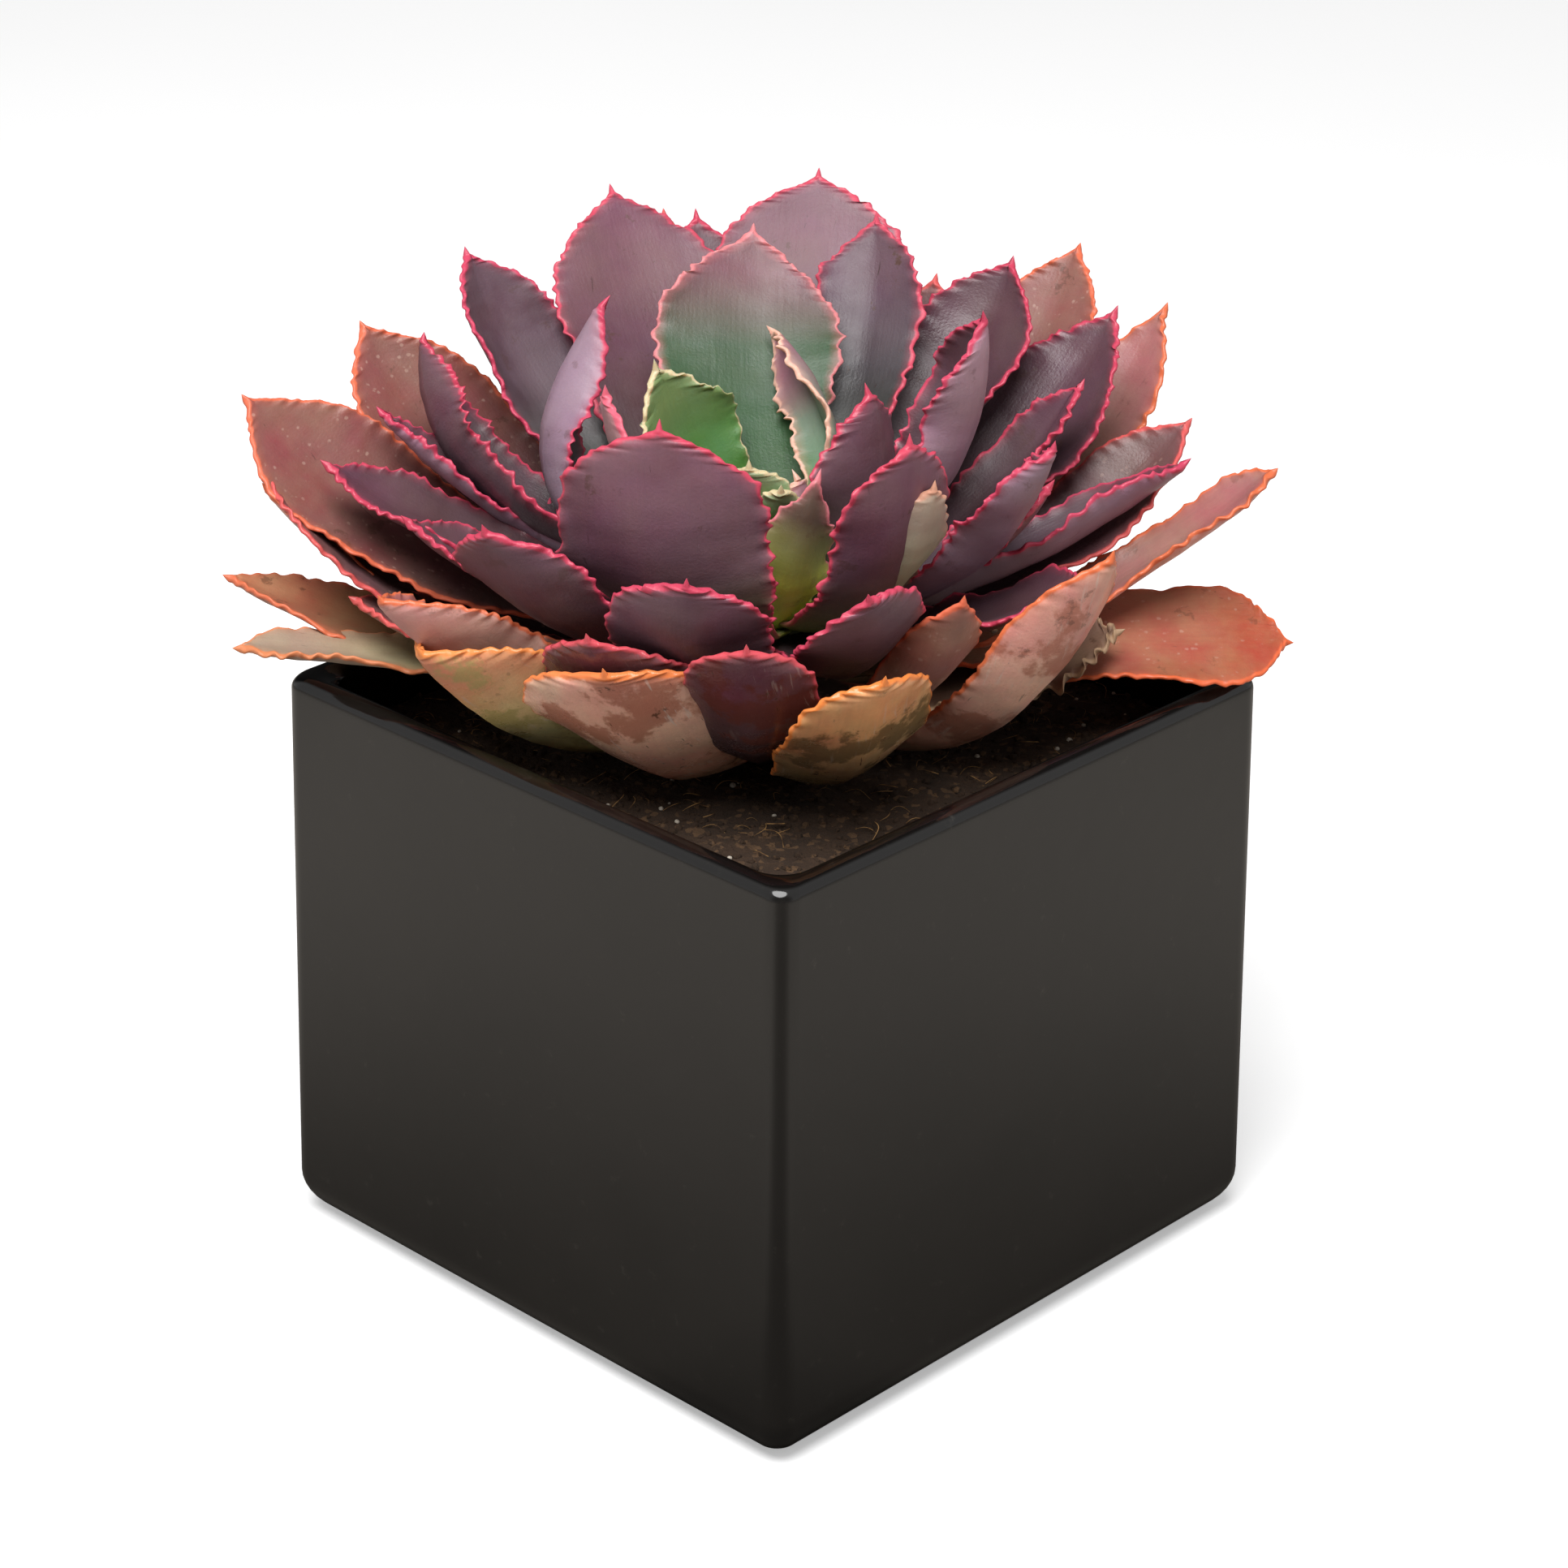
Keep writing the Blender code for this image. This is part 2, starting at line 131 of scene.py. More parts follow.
class Web:
    """Adds nodes to one tree. A node comes from its type, its settings, and what goes into its sockets."""

    def __init__(self, tree):
        self.tree = tree

    def add(self, kind, inputs=(), out=0, stops=(), **settings):
        """One node, as a term on its output of that number. A ramp's stops are pairs of place and colour."""
        node = self.tree.nodes.new(kind)
        for name, value in settings.items():
            setattr(node, name, value)
        if stops:
            ramp = node.color_ramp
            while len(ramp.elements) < len(stops):
                ramp.elements.new(1)
            for element, (place, colour) in zip(ramp.elements, stops):
                element.position = place
                element.color = colour
        for name, value in dict(inputs).items():
            if isinstance(value, Term):
                self.tree.links.new(value.socket, node.inputs[name])
            else:
                node.inputs[name].default_value = value
        socket = node.outputs[out]
        return Term(self, socket, arrow=socket.type in ("VECTOR", "RGBA"))

    def arrow(self, x=0, y=0, z=0):
        """An arrow from its three numbers."""
        return self.add("ShaderNodeCombineXYZ", {0: x, 1: y, 2: z})

    def parts(self, arrow):
        """The three numbers of an arrow."""
        first = self.add("ShaderNodeSeparateXYZ", {0: arrow})
        return [Term(self, socket) for socket in first.socket.node.outputs]

    def mix(self, share, first, second):
        """The second colour over the first, by its share."""
        return self.add("ShaderNodeMix", {0: share, 6: first, 7: second}, out=2, data_type="RGBA")

    def noise(self, place, size, detail=2.0, rough=0.5):
        """Cloudy noise from 0 to 1, whose grains are about one size across."""
        inputs = {"Vector": place, "Scale": 1 / size, "Detail": detail, "Roughness": rough}
        return self.add("ShaderNodeTexNoise", inputs)


class Finish(Web):
    """The material of one surface."""

    def __init__(self, name):
        self.material = bpy.data.materials.new(name)
        self.material.use_nodes = True
        super().__init__(self.material.node_tree)
        self.tree.nodes.clear()
        self.shader = self.tree.nodes.new("ShaderNodeBsdfPrincipled")
        output = self.tree.nodes.new("ShaderNodeOutputMaterial")
        self.tree.links.new(self.shader.outputs[0], output.inputs["Surface"])

    def place(self):
        """The place on the object, in millimetres."""
        return self.add("ShaderNodeTexCoord", out=3) * (1 / MM)

    def bump(self, height, depth, strength=1.0):
        """The surface's normal, raised by height times depth in metres."""
        return self.add("ShaderNodeBump", {"Strength": strength, "Distance": depth, "Height": height})

    def done(self, **sockets):
        """Sets the shader's sockets, by name with spaces as underscores, and gives the material."""
        for name, value in sockets.items():
            socket = self.shader.inputs[name.replace("_", " ")]
            if isinstance(value, Term):
                self.tree.links.new(value.socket, socket)
            else:
                socket.default_value = value
        return self.material


def keep(piece, node):
    """Links the finished piece, which rides on the still body and stands for a node of the frame."""
    if not piece.users_collection:
        bpy.context.scene.collection.objects.link(piece)
    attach(piece, "root")
    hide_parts(node)


def made_mesh(name, bm):
    """The built faces, turned outwards, as a mesh."""
    bmesh.ops.recalc_face_normals(bm, faces=bm.faces)
    mesh = bpy.data.meshes.new(name)
    bm.to_mesh(mesh)
    bm.free()
    return mesh


def loft(name, rings):
    """A smooth closed skin through lines from one end to the other, with a cap on each end."""
    bm = bmesh.new()
    lines = [[bm.verts.new(point) for point in ring] for ring in rings]
    for low, high in zip(lines, lines[1:]):
        for i in range(len(low)):
            j = (i + 1) % len(low)
            bm.faces.new((low[i], low[j], high[j], high[i]))
    bm.faces.new(lines[0][::-1])
    bm.faces.new(lines[-1])
    mesh = made_mesh(name, bm)
    mesh.polygons.foreach_set("use_smooth", [True] * len(mesh.polygons))
    return mesh


def half_side(height):
    """Half the pot's outer width at a height."""
    return (POT_FOOT_SIDE + (POT_RIM_SIDE - POT_FOOT_SIDE) * height / POT_HEIGHT) / 2


def rounded_square(inset, corner, height):
    """The points of one level line of the pot, with the sides' points close to the corners."""
    half = half_side(height) - inset
    flat = half - corner
    shares = [-1 + EDGE_LINE / flat] + [-1 + 2 * i / SIDE_STEPS for i in range(1, SIDE_STEPS)]
    shares += [1 - EDGE_LINE / flat]
    points = []
    for quarter in range(4):
        turn = Matrix.Rotation(quarter * math.pi / 2, 3, "Z")
        points += [turn @ Vector((half, flat * share, height)) for share in shares]
        for angle in QUARTER_ARC:
            x = flat + corner * math.cos(angle)
            y = flat + corner * math.sin(angle)
            points.append(turn @ Vector((x, y, height)))
    return points


def pot_rings():
    """The pot's skin as level lines, from the underside over the rim to the floor inside."""
    rings = [rounded_square(FOOT_EDGE + UNDERSIDE_RING, UNDERSIDE_EDGE, 0)]
    for angle in QUARTER_ARC:
        inset = FOOT_EDGE * (1 - math.sin(angle))
        corner = UNDERSIDE_EDGE + (UPRIGHT_EDGE - UNDERSIDE_EDGE) * math.sin(angle)
        rings.append(rounded_square(inset, corner, FOOT_EDGE * (1 - math.cos(angle))))
    top = POT_HEIGHT - RIM_EDGE
    for height in (FOOT_EDGE + EDGE_LINE, *WALL_LEVELS, top - EDGE_LINE):
        rings.append(rounded_square(0, UPRIGHT_EDGE, height))
    for angle in QUARTER_ARC:
        inset = RIM_EDGE * (1 - math.cos(angle))
        rings.append(rounded_square(inset, UPRIGHT_EDGE, top + RIM_EDGE * math.sin(angle)))
    for angle in QUARTER_ARC:
        inset = POT_WALL - RIM_EDGE * (1 - math.sin(angle))
        corner = UPRIGHT_EDGE + (INNER_EDGE - UPRIGHT_EDGE) * math.sin(angle)
        rings.append(rounded_square(inset, corner, top + RIM_EDGE * math.cos(angle)))
    for height in (top - EDGE_LINE, POT_FLOOR):
        rings.append(rounded_square(POT_WALL, INNER_EDGE, height))
    return rings


def glazed_black():
    """Black glaze with a faint ripple and a little dust, glossier on the rim and inside, where painted shade
    also darkens it.
    """
    finish = Finish("glazed_black")
    place = finish.place()
    x, y, height = finish.parts(place)
    from_middle = x.do("ABSOLUTE").do("MAXIMUM", y.do("ABSOLUTE"))
    # A mask of the rim's top and the inside: it carries painted shade in the colour and a glossier glaze.
    inside = from_middle.fade(75, 73).do("MAXIMUM", height.fade(133, 134.5))
    cloud = finish.noise(place, 34, detail=3)
    grain = finish.noise(place, 1.1, detail=2)
    dust = finish.noise(place, 5.5, detail=5, rough=0.75).fade(0.6, 0.8)
    colour = finish.mix(cloud, tone("151311"), tone("211E1B"))
    # Painted shade: the rim's top and the inside are darkened as if they lay in shade.
    colour = finish.mix(inside, colour, tone("0E0C0B"))
    colour = finish.mix(dust * 0.12, colour, tone("8A8378"))
    ripple = finish.noise(place, 11, detail=1) + grain * 0.05
    return finish.done(
        Base_Color=colour,
        Roughness=0.26 + cloud * 0.08 + dust * 0.1 - inside * 0.2,
        Normal=finish.bump(ripple, GLAZE_RIPPLE, 0.6),
        IOR=1.52,
    )


pot = bpy.data.objects.new("glazed_pot", loft("glazed_pot", pot_rings()))
pot.data.materials.append(glazed_black())
keep(pot, "pot")


# The peat: moist potting mix, a dark crumbly body that fills the pot to a finger's breadth under the rim.
# It is a plain body with an uneven top, on which loose crumbs, root fibres and white perlite grains lie.
PEAT_BELOW_RIM = 14 * MM
PEAT_HEAP = 1.5 * MM
HEAP_REACH = 1.1
PEAT_CLEAR = 0.6 * MM
PEAT_LUMPS = 1.6 * MM
PEAT_LEVEL = POT_HEIGHT - PEAT_BELOW_RIM
LOOSE_ABOVE = PEAT_LEVEL - 2.5 * MM
PEAT_SIDE_STEPS = 90
FULL_TURN = 6.283
TUMBLED_TILT = 6.3
LYING_TILT = 0.5
CRUMB_SEED = 11
FIBRE_SEED = 12
PERLITE_SEED = 13
FIBRE_STEPS = 8
FIBRE_SIDES = 3


class Growth(Web):
    """A geometry tree that grows one piece. Its sizes are named inputs of the tree."""

    def __init__(self, name):
        super().__init__(bpy.data.node_groups.new(name, "GeometryNodeTree"))
        self.tree.interface.new_socket("Geometry", in_out="OUTPUT", socket_type="NodeSocketGeometry")
        self.source = self.tree.nodes.new("NodeGroupInput")
        self.names = {}

    def size(self, name, kind="Float"):
        """A named input of the tree."""
        item = self.tree.interface.new_socket(name, in_out="INPUT", socket_type=f"NodeSocket{kind}")
        self.names[name] = item.identifier
        socket = next(s for s in self.source.outputs if s.identifier == item.identifier)
        return Term(self, socket, arrow=kind == "Vector")

    def sizes(self, names, kind="Float"):
        """Several named inputs of one kind."""
        return [self.size(name, kind) for name in names.split()]

    def end(self, geometry, material):
        """Realises what was placed and gives it the material, as the tree's result."""
        real = self.add("GeometryNodeRealizeInstances", {0: geometry})
        shaded = self.add("GeometryNodeSetShadeSmooth", {0: real, "Shade Smooth": True})
        painted = self.add("GeometryNodeSetMaterial", {0: shaded, "Material": material})
        output = self.tree.nodes.new("NodeGroupOutput")
        self.tree.links.new(painted.socket, output.inputs[0])

    def grow(self, name, mesh=None, **values):
        """A piece with a plain mesh, grown from this tree with these inputs."""
        piece = bpy.data.objects.new(name, mesh or bpy.data.meshes.new(name))
        bpy.context.scene.collection.objects.link(piece)
        modifier = piece.modifiers.new("growth", "NODES")
        modifier.node_group = self.tree
        for key, value in values.items():
            modifier[self.names[key]] = value
        grown = piece.evaluated_get(bpy.context.evaluated_depsgraph_get())
        piece.data = bpy.data.meshes.new_from_object(grown)
        piece.modifiers.clear()
        return piece


def peat_height(x, y):
    """The height of the peat's even top, a low heap towards the plant."""
    reach = (half_side(PEAT_LEVEL) - POT_WALL) * HEAP_REACH
    return PEAT_LEVEL + PEAT_HEAP * max(0, 1 - math.hypot(x, y) / reach)


def peat_body():
    """The peat as one closed body: a fine top on a plain block that follows the pot's inside."""
    bm = bmesh.new()
    half = half_side(PEAT_LEVEL) - POT_WALL - PEAT_CLEAR
    flat = half - INNER_EDGE
    step = 2 * half / PEAT_SIDE_STEPS
    rows = []
    for i in range(PEAT_SIDE_STEPS + 1):
        row = []
        for j in range(PEAT_SIDE_STEPS + 1):
            x = -half + i * step
            y = -half + j * step
            over = Vector((max(abs(x) - flat, 0), max(abs(y) - flat, 0)))
            if over.length > INNER_EDGE:
                over *= INNER_EDGE / over.length
                x = math.copysign(flat + over.x, x)
                y = math.copysign(flat + over.y, y)
            row.append(bm.verts.new((x, y, peat_height(x, y))))
        rows.append(row)
    for low, high in zip(rows, rows[1:]):
        for j in range(PEAT_SIDE_STEPS):
            bm.faces.new((low[j], high[j], high[j + 1], low[j + 1]))
    rim = rows[0][:-1] + [row[-1] for row in rows[:-1]] + rows[-1][:0:-1] + [row[0] for row in rows[:0:-1]]
    floor = POT_FLOOR + PEAT_CLEAR
    foot = [bm.verts.new((v.co.x, v.co.y, floor)) for v in rim]
    for i in range(len(rim)):
        j = (i + 1) % len(rim)
        bm.faces.new((rim[i], rim[j], foot[j], foot[i]))
    bm.faces.new(foot)
    return made_mesh("peat_body", bm)


def peat_mix():
    """Moist peat: brown-black crumbs with lighter bits, dull, wet in places, with painted shade darkening it
    by the wall.
    """
    finish = Finish("peat_mix")
    place = finish.place()
    x, y, _ = finish.parts(place)
    # Painted shade: a mask near the pot's wall that darkens the peat, as if the rim shaded it.
    painted_wall_shade = x.do("ABSOLUTE").do("MAXIMUM", y.do("ABSOLUTE")).fade(50, 68)
    cloud = finish.noise(place, 9, detail=4)
    crumb = finish.noise(place, 1.3, detail=4, rough=0.7)
    bits = finish.add("ShaderNodeTexVoronoi", {"Vector": place, "Scale": 0.75}, out=1)
    light = finish.parts(bits)[0].fade(0.8, 0.97)
    colour = finish.mix(cloud, tone("22180F"), tone("483220"))
    colour = finish.mix(crumb.fade(0.55, 0.75) * 0.6, colour, tone("5A3F29"))
    colour = finish.mix(light * 0.5, colour, tone("7B5C3E"))
    colour = finish.mix(painted_wall_shade * 0.3, colour, tone("0B0806"))
    return finish.done(
        Base_Color=colour,
        Roughness=0.95 - cloud.fade(0.5, 0.8) * 0.35,
        Normal=finish.bump(crumb + cloud, 1.2 * MM),
    )


def roughen_tree():
    """Raises and sinks the top of the peat by cloudy noise, as loose mix lies."""
    growth = Growth("peat_top")
    body = growth.size("Body", "Geometry")
    depth, level = growth.sizes("Depth Level")
    material = growth.size("Material", "Material")
    place = growth.add("GeometryNodeInputPosition")
    height = growth.parts(place)[2]
    top = height.fade(level - 4 * MM, level - 1 * MM)
    lumps = growth.noise(place, 7 * MM, detail=3, rough=0.6) - 0.5
    crumbs = growth.noise(place, 2.2 * MM, detail=2) - 0.5
    rise = (lumps * 1.6 + crumbs * 0.8) * depth * top
    moved = growth.add("GeometryNodeSetPosition", {0: body, "Offset": growth.arrow(z=rise)})
    growth.end(moved, material)
    return growth


def scatter_tree(name, seed):
    """Strews copies of a grain over the top of a surface, each with its own turn and size."""
    growth = Growth(name)
    ground = growth.size("Ground", "Geometry")
    level, density, small, large, tilt = growth.sizes("Level Density Smallest Largest Tilt")
    grain = growth.size("Grain", "Object")
    material = growth.size("Material", "Material")
    up = growth.parts(growth.add("GeometryNodeInputNormal"))[2]
    height = growth.parts(growth.add("GeometryNodeInputPosition"))[2]
    top = up.do("GREATER_THAN", 0.2) * height.do("GREATER_THAN", level)
    points = growth.add(
        "GeometryNodeDistributePointsOnFaces",
        {"Mesh": ground, "Selection": top, "Density": density, "Seed": seed},
    )
    turn = growth.add(
        "FunctionNodeRandomValue",
        {0: (0, 0, 0), 1: (1, 1, FULL_TURN), "Seed": seed},
        data_type="FLOAT_VECTOR",
    )
    turn = turn * growth.arrow(tilt, tilt, 1)
    scale = growth.add("FunctionNodeRandomValue", {2: small, 3: large, "Seed": seed + 1}, out=1)
    whole = growth.add("GeometryNodeObjectInfo", {"Object": grain}, out=4)
    placed = growth.add(
        "GeometryNodeInstanceOnPoints",
        {"Points": points, "Instance": whole, "Rotation": turn, "Scale": scale},
    )
    growth.end(placed, material)
    return growth


def grain_shape(name, cuts, uneven, seed):
    """One rough round grain, a unit across, to be strewn many times."""
    bm = bmesh.new()
    bmesh.ops.create_icosphere(bm, subdivisions=cuts, radius=0.5)
    for vert in bm.verts:
        way = vert.co.normalized() * 2.3 + Vector((seed, 0, 0))
        lump = math.sin(3.1 * way.x) + math.sin(4.3 * way.y + 1) + math.sin(3.7 * way.z + 2)
        vert.co *= 1 + uneven * lump / 3
    return bpy.data.objects.new(name, made_mesh(name, bm))


def fibre_shape(name):
    """One curled fibre, a unit long, which thins towards its end."""
    angles = [math.tau * side / FIBRE_SIDES for side in range(FIBRE_SIDES)]
    rings = []
    for step in range(FIBRE_STEPS + 1):
        share = step / FIBRE_STEPS
        centre = Vector((share - 0.5, 0.16 * math.sin(4.5 * share), 0.12 * math.sin(math.pi * share)))
        thick = 0.018 * (1 - 0.6 * share)
        rings.append([centre + thick * Vector((0, math.cos(angle), math.sin(angle))) for angle in angles])
    return bpy.data.objects.new(name, loft(name, rings))


def white_perlite():
    """Expanded perlite: a white, faintly soiled, foamed glass grain with a pitted skin."""
    finish = Finish("white_perlite")
    place = finish.place()
    pits = finish.noise(place, 0.5, detail=3)
    soil = finish.noise(place, 1.4, detail=3).fade(0.5, 0.75)
    colour = finish.mix(pits, tone("D8CFC2"), tone("B0A492"))
    colour = finish.mix(soil * 0.8, colour, tone("6B5642"))
    return finish.done(Base_Color=colour, Roughness=0.85, Normal=finish.bump(pits, 0.4 * MM))


def root_fibre():
    """A dry root or coir fibre: thin, golden to dark brown along its length."""
    finish = Finish("root_fibre")
    place = finish.place()
    cloud = finish.noise(place, 2.5, detail=2)
    colour = finish.mix(cloud.fade(0.35, 0.65), tone("5A3C1E"), tone("BC9058"))
    return finish.done(Base_Color=colour, Roughness=0.75, Normal=finish.bump(cloud, 0.2 * MM))


def strew(name, seed, grain, material, density, smallest, largest, tilt):
    """Strews grains over the peat as one loose piece, with their density per square metre."""
    piece = scatter_tree(name, seed).grow(
        name,
        mesh=peat.data.copy(),
        Level=LOOSE_ABOVE,
        Density=density,
        Smallest=smallest,
        Largest=largest,
        Grain=grain,
        Material=material,
        Tilt=tilt,
    )
    keep(piece, "peat")


moist_peat = peat_mix()
peat = roughen_tree().grow(
    "peat_body", mesh=peat_body(), Depth=PEAT_LUMPS, Level=PEAT_LEVEL, Material=moist_peat
)
keep(peat, "peat")
crumb_grain = grain_shape("crumb_grain", cuts=1, uneven=0.35, seed=0)
strew("peat_crumbs", CRUMB_SEED, crumb_grain, moist_peat,
      density=80000, smallest=0.6 * MM, largest=2.6 * MM, tilt=TUMBLED_TILT)
perlite_grain = grain_shape("perlite_grain", cuts=2, uneven=0.22, seed=3)
strew("perlite_grains", PERLITE_SEED, perlite_grain, white_perlite(),
      density=4000, smallest=0.5 * MM, largest=1.5 * MM, tilt=TUMBLED_TILT)
fibre = fibre_shape("fibre_shape")
strew("root_fibres", FIBRE_SEED, fibre, root_fibre(),
      density=18000, smallest=2.5 * MM, largest=8 * MM, tilt=LYING_TILT)


# The stem: the short thick trunk that carries every leaf, woody at its foot and green under the heart.
# It is one grown piece, narrower from tier to tier, ringed by the scars of leaves it has shed.
STEM_SIDES = 40
STEM_LEVELS = 60
SCAR_RINGS = 1.9
STEM_PROFILE = (
    (-40, 8.5), (-16, 9.5), (-8, 12), (0, 12.6), (8, 12.4), (20, 10.6), (27, 9.2), (37, 5.5), (39, 2)
)


def stem_radius(height):
    """The stem's radius at a height over the rim, both in millimetres."""
    for (low, first), (high, second) in zip(STEM_PROFILE, STEM_PROFILE[1:]):
        if height <= high:
            share = (height - low) / (high - low)
            return first + (second - first) * share
    return STEM_PROFILE[-1][1]


def stem_rings():
    """The stem's skin as level lines, uneven with the scars of shed leaves."""
    rings = []
    low = STEM_PROFILE[0][0]
    high = STEM_PROFILE[-1][0]
    for level in range(STEM_LEVELS + 1):
        height = low + (high - low) * level / STEM_LEVELS
        ring = []
        for side in range(STEM_SIDES):
            angle = math.tau * side / STEM_SIDES
            scars = 0.35 * math.sin(height * SCAR_RINGS + 2 * math.sin(angle * 2))
            scars += 0.3 * math.sin(5 * angle + height)
            radius = (stem_radius(height) + scars) * MM
            z = POT_HEIGHT + height * MM
            ring.append(Vector((radius * math.cos(angle), radius * math.sin(angle), z)))
        rings.append(ring)
    return rings


def woody_stem():
    """Grey-brown bark with corky rings low down, turning green under the heart."""
    finish = Finish("woody_stem")
    place = finish.place()
    height = finish.parts(place)[2]
    bark = finish.noise(place, 2.2, detail=4, rough=0.65)
    rings = (height * SCAR_RINGS + bark * 2).do("SINE") * 0.5 + 0.5
    colour = finish.mix(bark, tone("4A3A2C"), tone("8C7256"))
    colour = finish.mix(rings * 0.35, colour, tone("2E231A"))
    colour = finish.mix(height.fade(136, 158), colour, tone("5E7440"))
    return finish.done(
        Base_Color=colour, Roughness=0.8, Normal=finish.bump(bark + rings * 0.4, 0.8 * MM)
    )


stem = bpy.data.objects.new("woody_stem", loft("woody_stem", stem_rings()))
stem.data.materials.append(woody_stem())
keep(stem, "stem")


# The copper leaves: the old outer tier of fleshy leaves, copper to tan, with orange frilled edges.
# Each grows from the stem on a narrow foot, arches outwards, and ends in a short red point.
FRONT = math.radians(-46.3)
WIDEST_AT = 0.7
MIDRIB_THICKNESS = 3.2 * MM
EDGE_THICKNESS = 0.9 * MM
EDGE_ROUND = 0.5 * MM
WAVES = 2.5
WAVE_HEIGHT = 1.3 * MM
RUFFLE_LENGTH = 6.0 * MM
RUFFLE_DRIFT = 14 * MM
RUFFLE_NOISE = 4.2 * MM
TOOTH_LENGTH = 4.2 * MM
TOOTH_ROOT = 3.2 * MM
NOTCH_NOISE = 5.2 * MM
HEM_WIDTH = 2.4 * MM
DENT_NOISE = 16 * MM
DENT_DEPTH = 1.6 * MM
POINT_RADIUS = 0.75 * MM
POINT_FLARE = 2.6 * MM
BLADE_SHARE = 0.95
CREASE_SHARE = 0.35
LEAF_SHIFT = 1.7
SIDE_SHIFT = 1.1
BARELY = 0.0001
STATIONS = 190
AROUND = 36
RIB_STEPS = 20
TONE_PLACES = (0.12, 0.36, 0.63, 0.87)
SUBSURFACE_DEPTH = 3 * MM
SKIN_RELIEF = 0.5 * MM


def leaf_tree():
    """Grows one leaf: a closed blade along a curved midrib, folded, rolled, ruffled and toothed."""
    growth = Growth("leaf")
    root, middle, tip, sideways = growth.sizes("Root Middle Tip Sideways", "Vector")
    length, width, fold, roll, number = growth.sizes("Length Width Fold Roll Number")
    foot, full, neck, ruffle, tooth, point = growth.sizes("Foot Full Neck Ruffle Tooth Point")
    stations, around = growth.sizes("Stations Around", "Int")
    material = growth.size("Material", "Material")

    # A sheet is wrapped round the leaf: its stations run from foot to point, its loop round the section.
    grid = growth.add(
        "GeometryNodeMeshGrid",
        {"Size X": 1, "Size Y": 1, "Vertices X": stations + 1, "Vertices Y": around + 1},
    )
    place = growth.parts(growth.add("GeometryNodeInputPosition"))
    station = place[0] + 0.5
    loop = (place[1] + 0.5) * math.tau
    end = (station * stations).do("MINIMUM", (1 - station) * stations).clamp()
    blade = (station / BLADE_SHARE).clamp()
    blade = blade * (1.5 - blade * 0.5)
    past = ((station - BLADE_SHARE) / (1 - BLADE_SHARE)).clamp()
    along = blade + past * point / length
    across = loop.do("COSINE") * -1
    edge = 1 - (1 - across.do("ABSOLUTE")) ** 1.25
    sign = across.do("SIGN")
    face = loop.do("SINE").do("SIGN")

    # The midrib's curve, and the leaf's own directions at each station.
    rest = 1 - along
    rib = root * (rest * rest) + middle * (2 * along * rest) + tip * (along * along)
    forward = ((middle - root) * rest + (tip - middle) * along).do("NORMALIZE")
    level = (sideways - forward * forward.do("DOT_PRODUCT", sideways)).do("NORMALIZE")
    upright = forward.do("CROSS_PRODUCT", level)
    turn_over = roll * (3 - 2 * blade) * blade * blade
    side = level * turn_over.do("COSINE") + upright * turn_over.do("SINE")
    inward = upright * turn_over.do("COSINE") - level * turn_over.do("SINE")

    # The outline: a narrow foot, the widest place, and a round end that runs into the point.
    rise = (blade / WIDEST_AT).clamp() * (math.pi / 2)
    rise = rise.do("SINE") ** neck
    near_tip = ((blade - WIDEST_AT) / (1 - WIDEST_AT)).clamp(BARELY, 1)
    taper = 1 - near_tip**full
    share = (foot + (1 - foot) * rise) * taper
    fall = width * 0.5 * full * near_tip ** (full - 1) / (length * (1 - WIDEST_AT))
    sidewards = 1 / (fall * fall + 1).do("SQRT")
    flare = (1 - (1 - blade) * length / POINT_FLARE).clamp() ** 2
    flare = flare * (1 - past).do("POWER", 0.8) * POINT_RADIUS
    half = (width * 0.5 * share + flare) * end

    # The frill: ruffles and teeth along the margin, different on each leaf and each side.
    path = along * length
    rim = path + (1 - taper) * width * 0.5
    own = number * 0.37
    seed_place = growth.arrow(rim, sign * 0.02, own)
    slow = growth.noise(seed_place, RUFFLE_DRIFT, detail=1) - 0.5
    quick = growth.noise(seed_place, RUFFLE_NOISE, detail=2) - 0.5
    grown = blade.fade(0.16, 0.42) * (1 - past) * blade.fade(1.002, 0.985)
    phase = rim * (math.tau / RUFFLE_LENGTH) + slow * 15 + number * LEAF_SHIFT + sign * SIDE_SHIFT
    ripple = (phase.do("SINE") + quick * 3.2) * (0.8 + slow * 2.2) * ruffle * grown
    scallop = (rim * (math.pi / TOOTH_LENGTH) + quick * 5 + number * 2.3 + sign * 0.7).do("SINE")
    scallop = 0.9 - scallop.do("ABSOLUTE") * 1.5
    notch = growth.noise(seed_place, NOTCH_NOISE, detail=1.5, rough=0.55) - 0.5
    teeth = (scallop * (0.75 + slow * 2.5) + notch * 8) * tooth * grown

    # The section: cupped along the midrib, with waves towards the margin and shallow dents.
    angle = fold * (1.1 - 0.35 * along)
    crease = angle * CREASE_SHARE
    curl = angle * (1 - CREASE_SHARE)
    turn = crease + curl * edge
    out = half * (turn.do("SINE") - crease.do("SINE")) / curl
    up = half * (crease.do("COSINE") - turn.do("COSINE")) / curl
    swell = (((blade - 0.12) / 0.88).clamp() * math.pi).do("SINE").do("MAXIMUM", BARELY) ** 0.6
    sway = (blade * (math.tau * WAVES) + number * LEAF_SHIFT + sign * SIDE_SHIFT).do("SINE")
    inset = (1 - edge) * half * sidewards
    hem = (1 - inset / HEM_WIDTH).clamp() ** 1.3
    wave = sway * swell * (edge**2.5) * WAVE_HEIGHT + ripple * hem
    flat_place = growth.arrow(across * half, path, own)
    dents = (growth.noise(flat_place, DENT_NOISE, detail=2) - 0.5) * DENT_DEPTH * grown * end
    wave = wave * end + dents
    skin = inward * turn.do("COSINE") - side * (sign * turn.do("SINE"))
    bite = teeth * sidewards * (0.3 + 0.7 * share) * (1 - inset / TOOTH_ROOT).clamp() * end
    outwards = side * (sign * turn.do("COSINE")) + inward * turn.do("SINE") + forward * fall
    spot = rib + side * (sign * out) + inward * up + skin * wave + outwards * bite

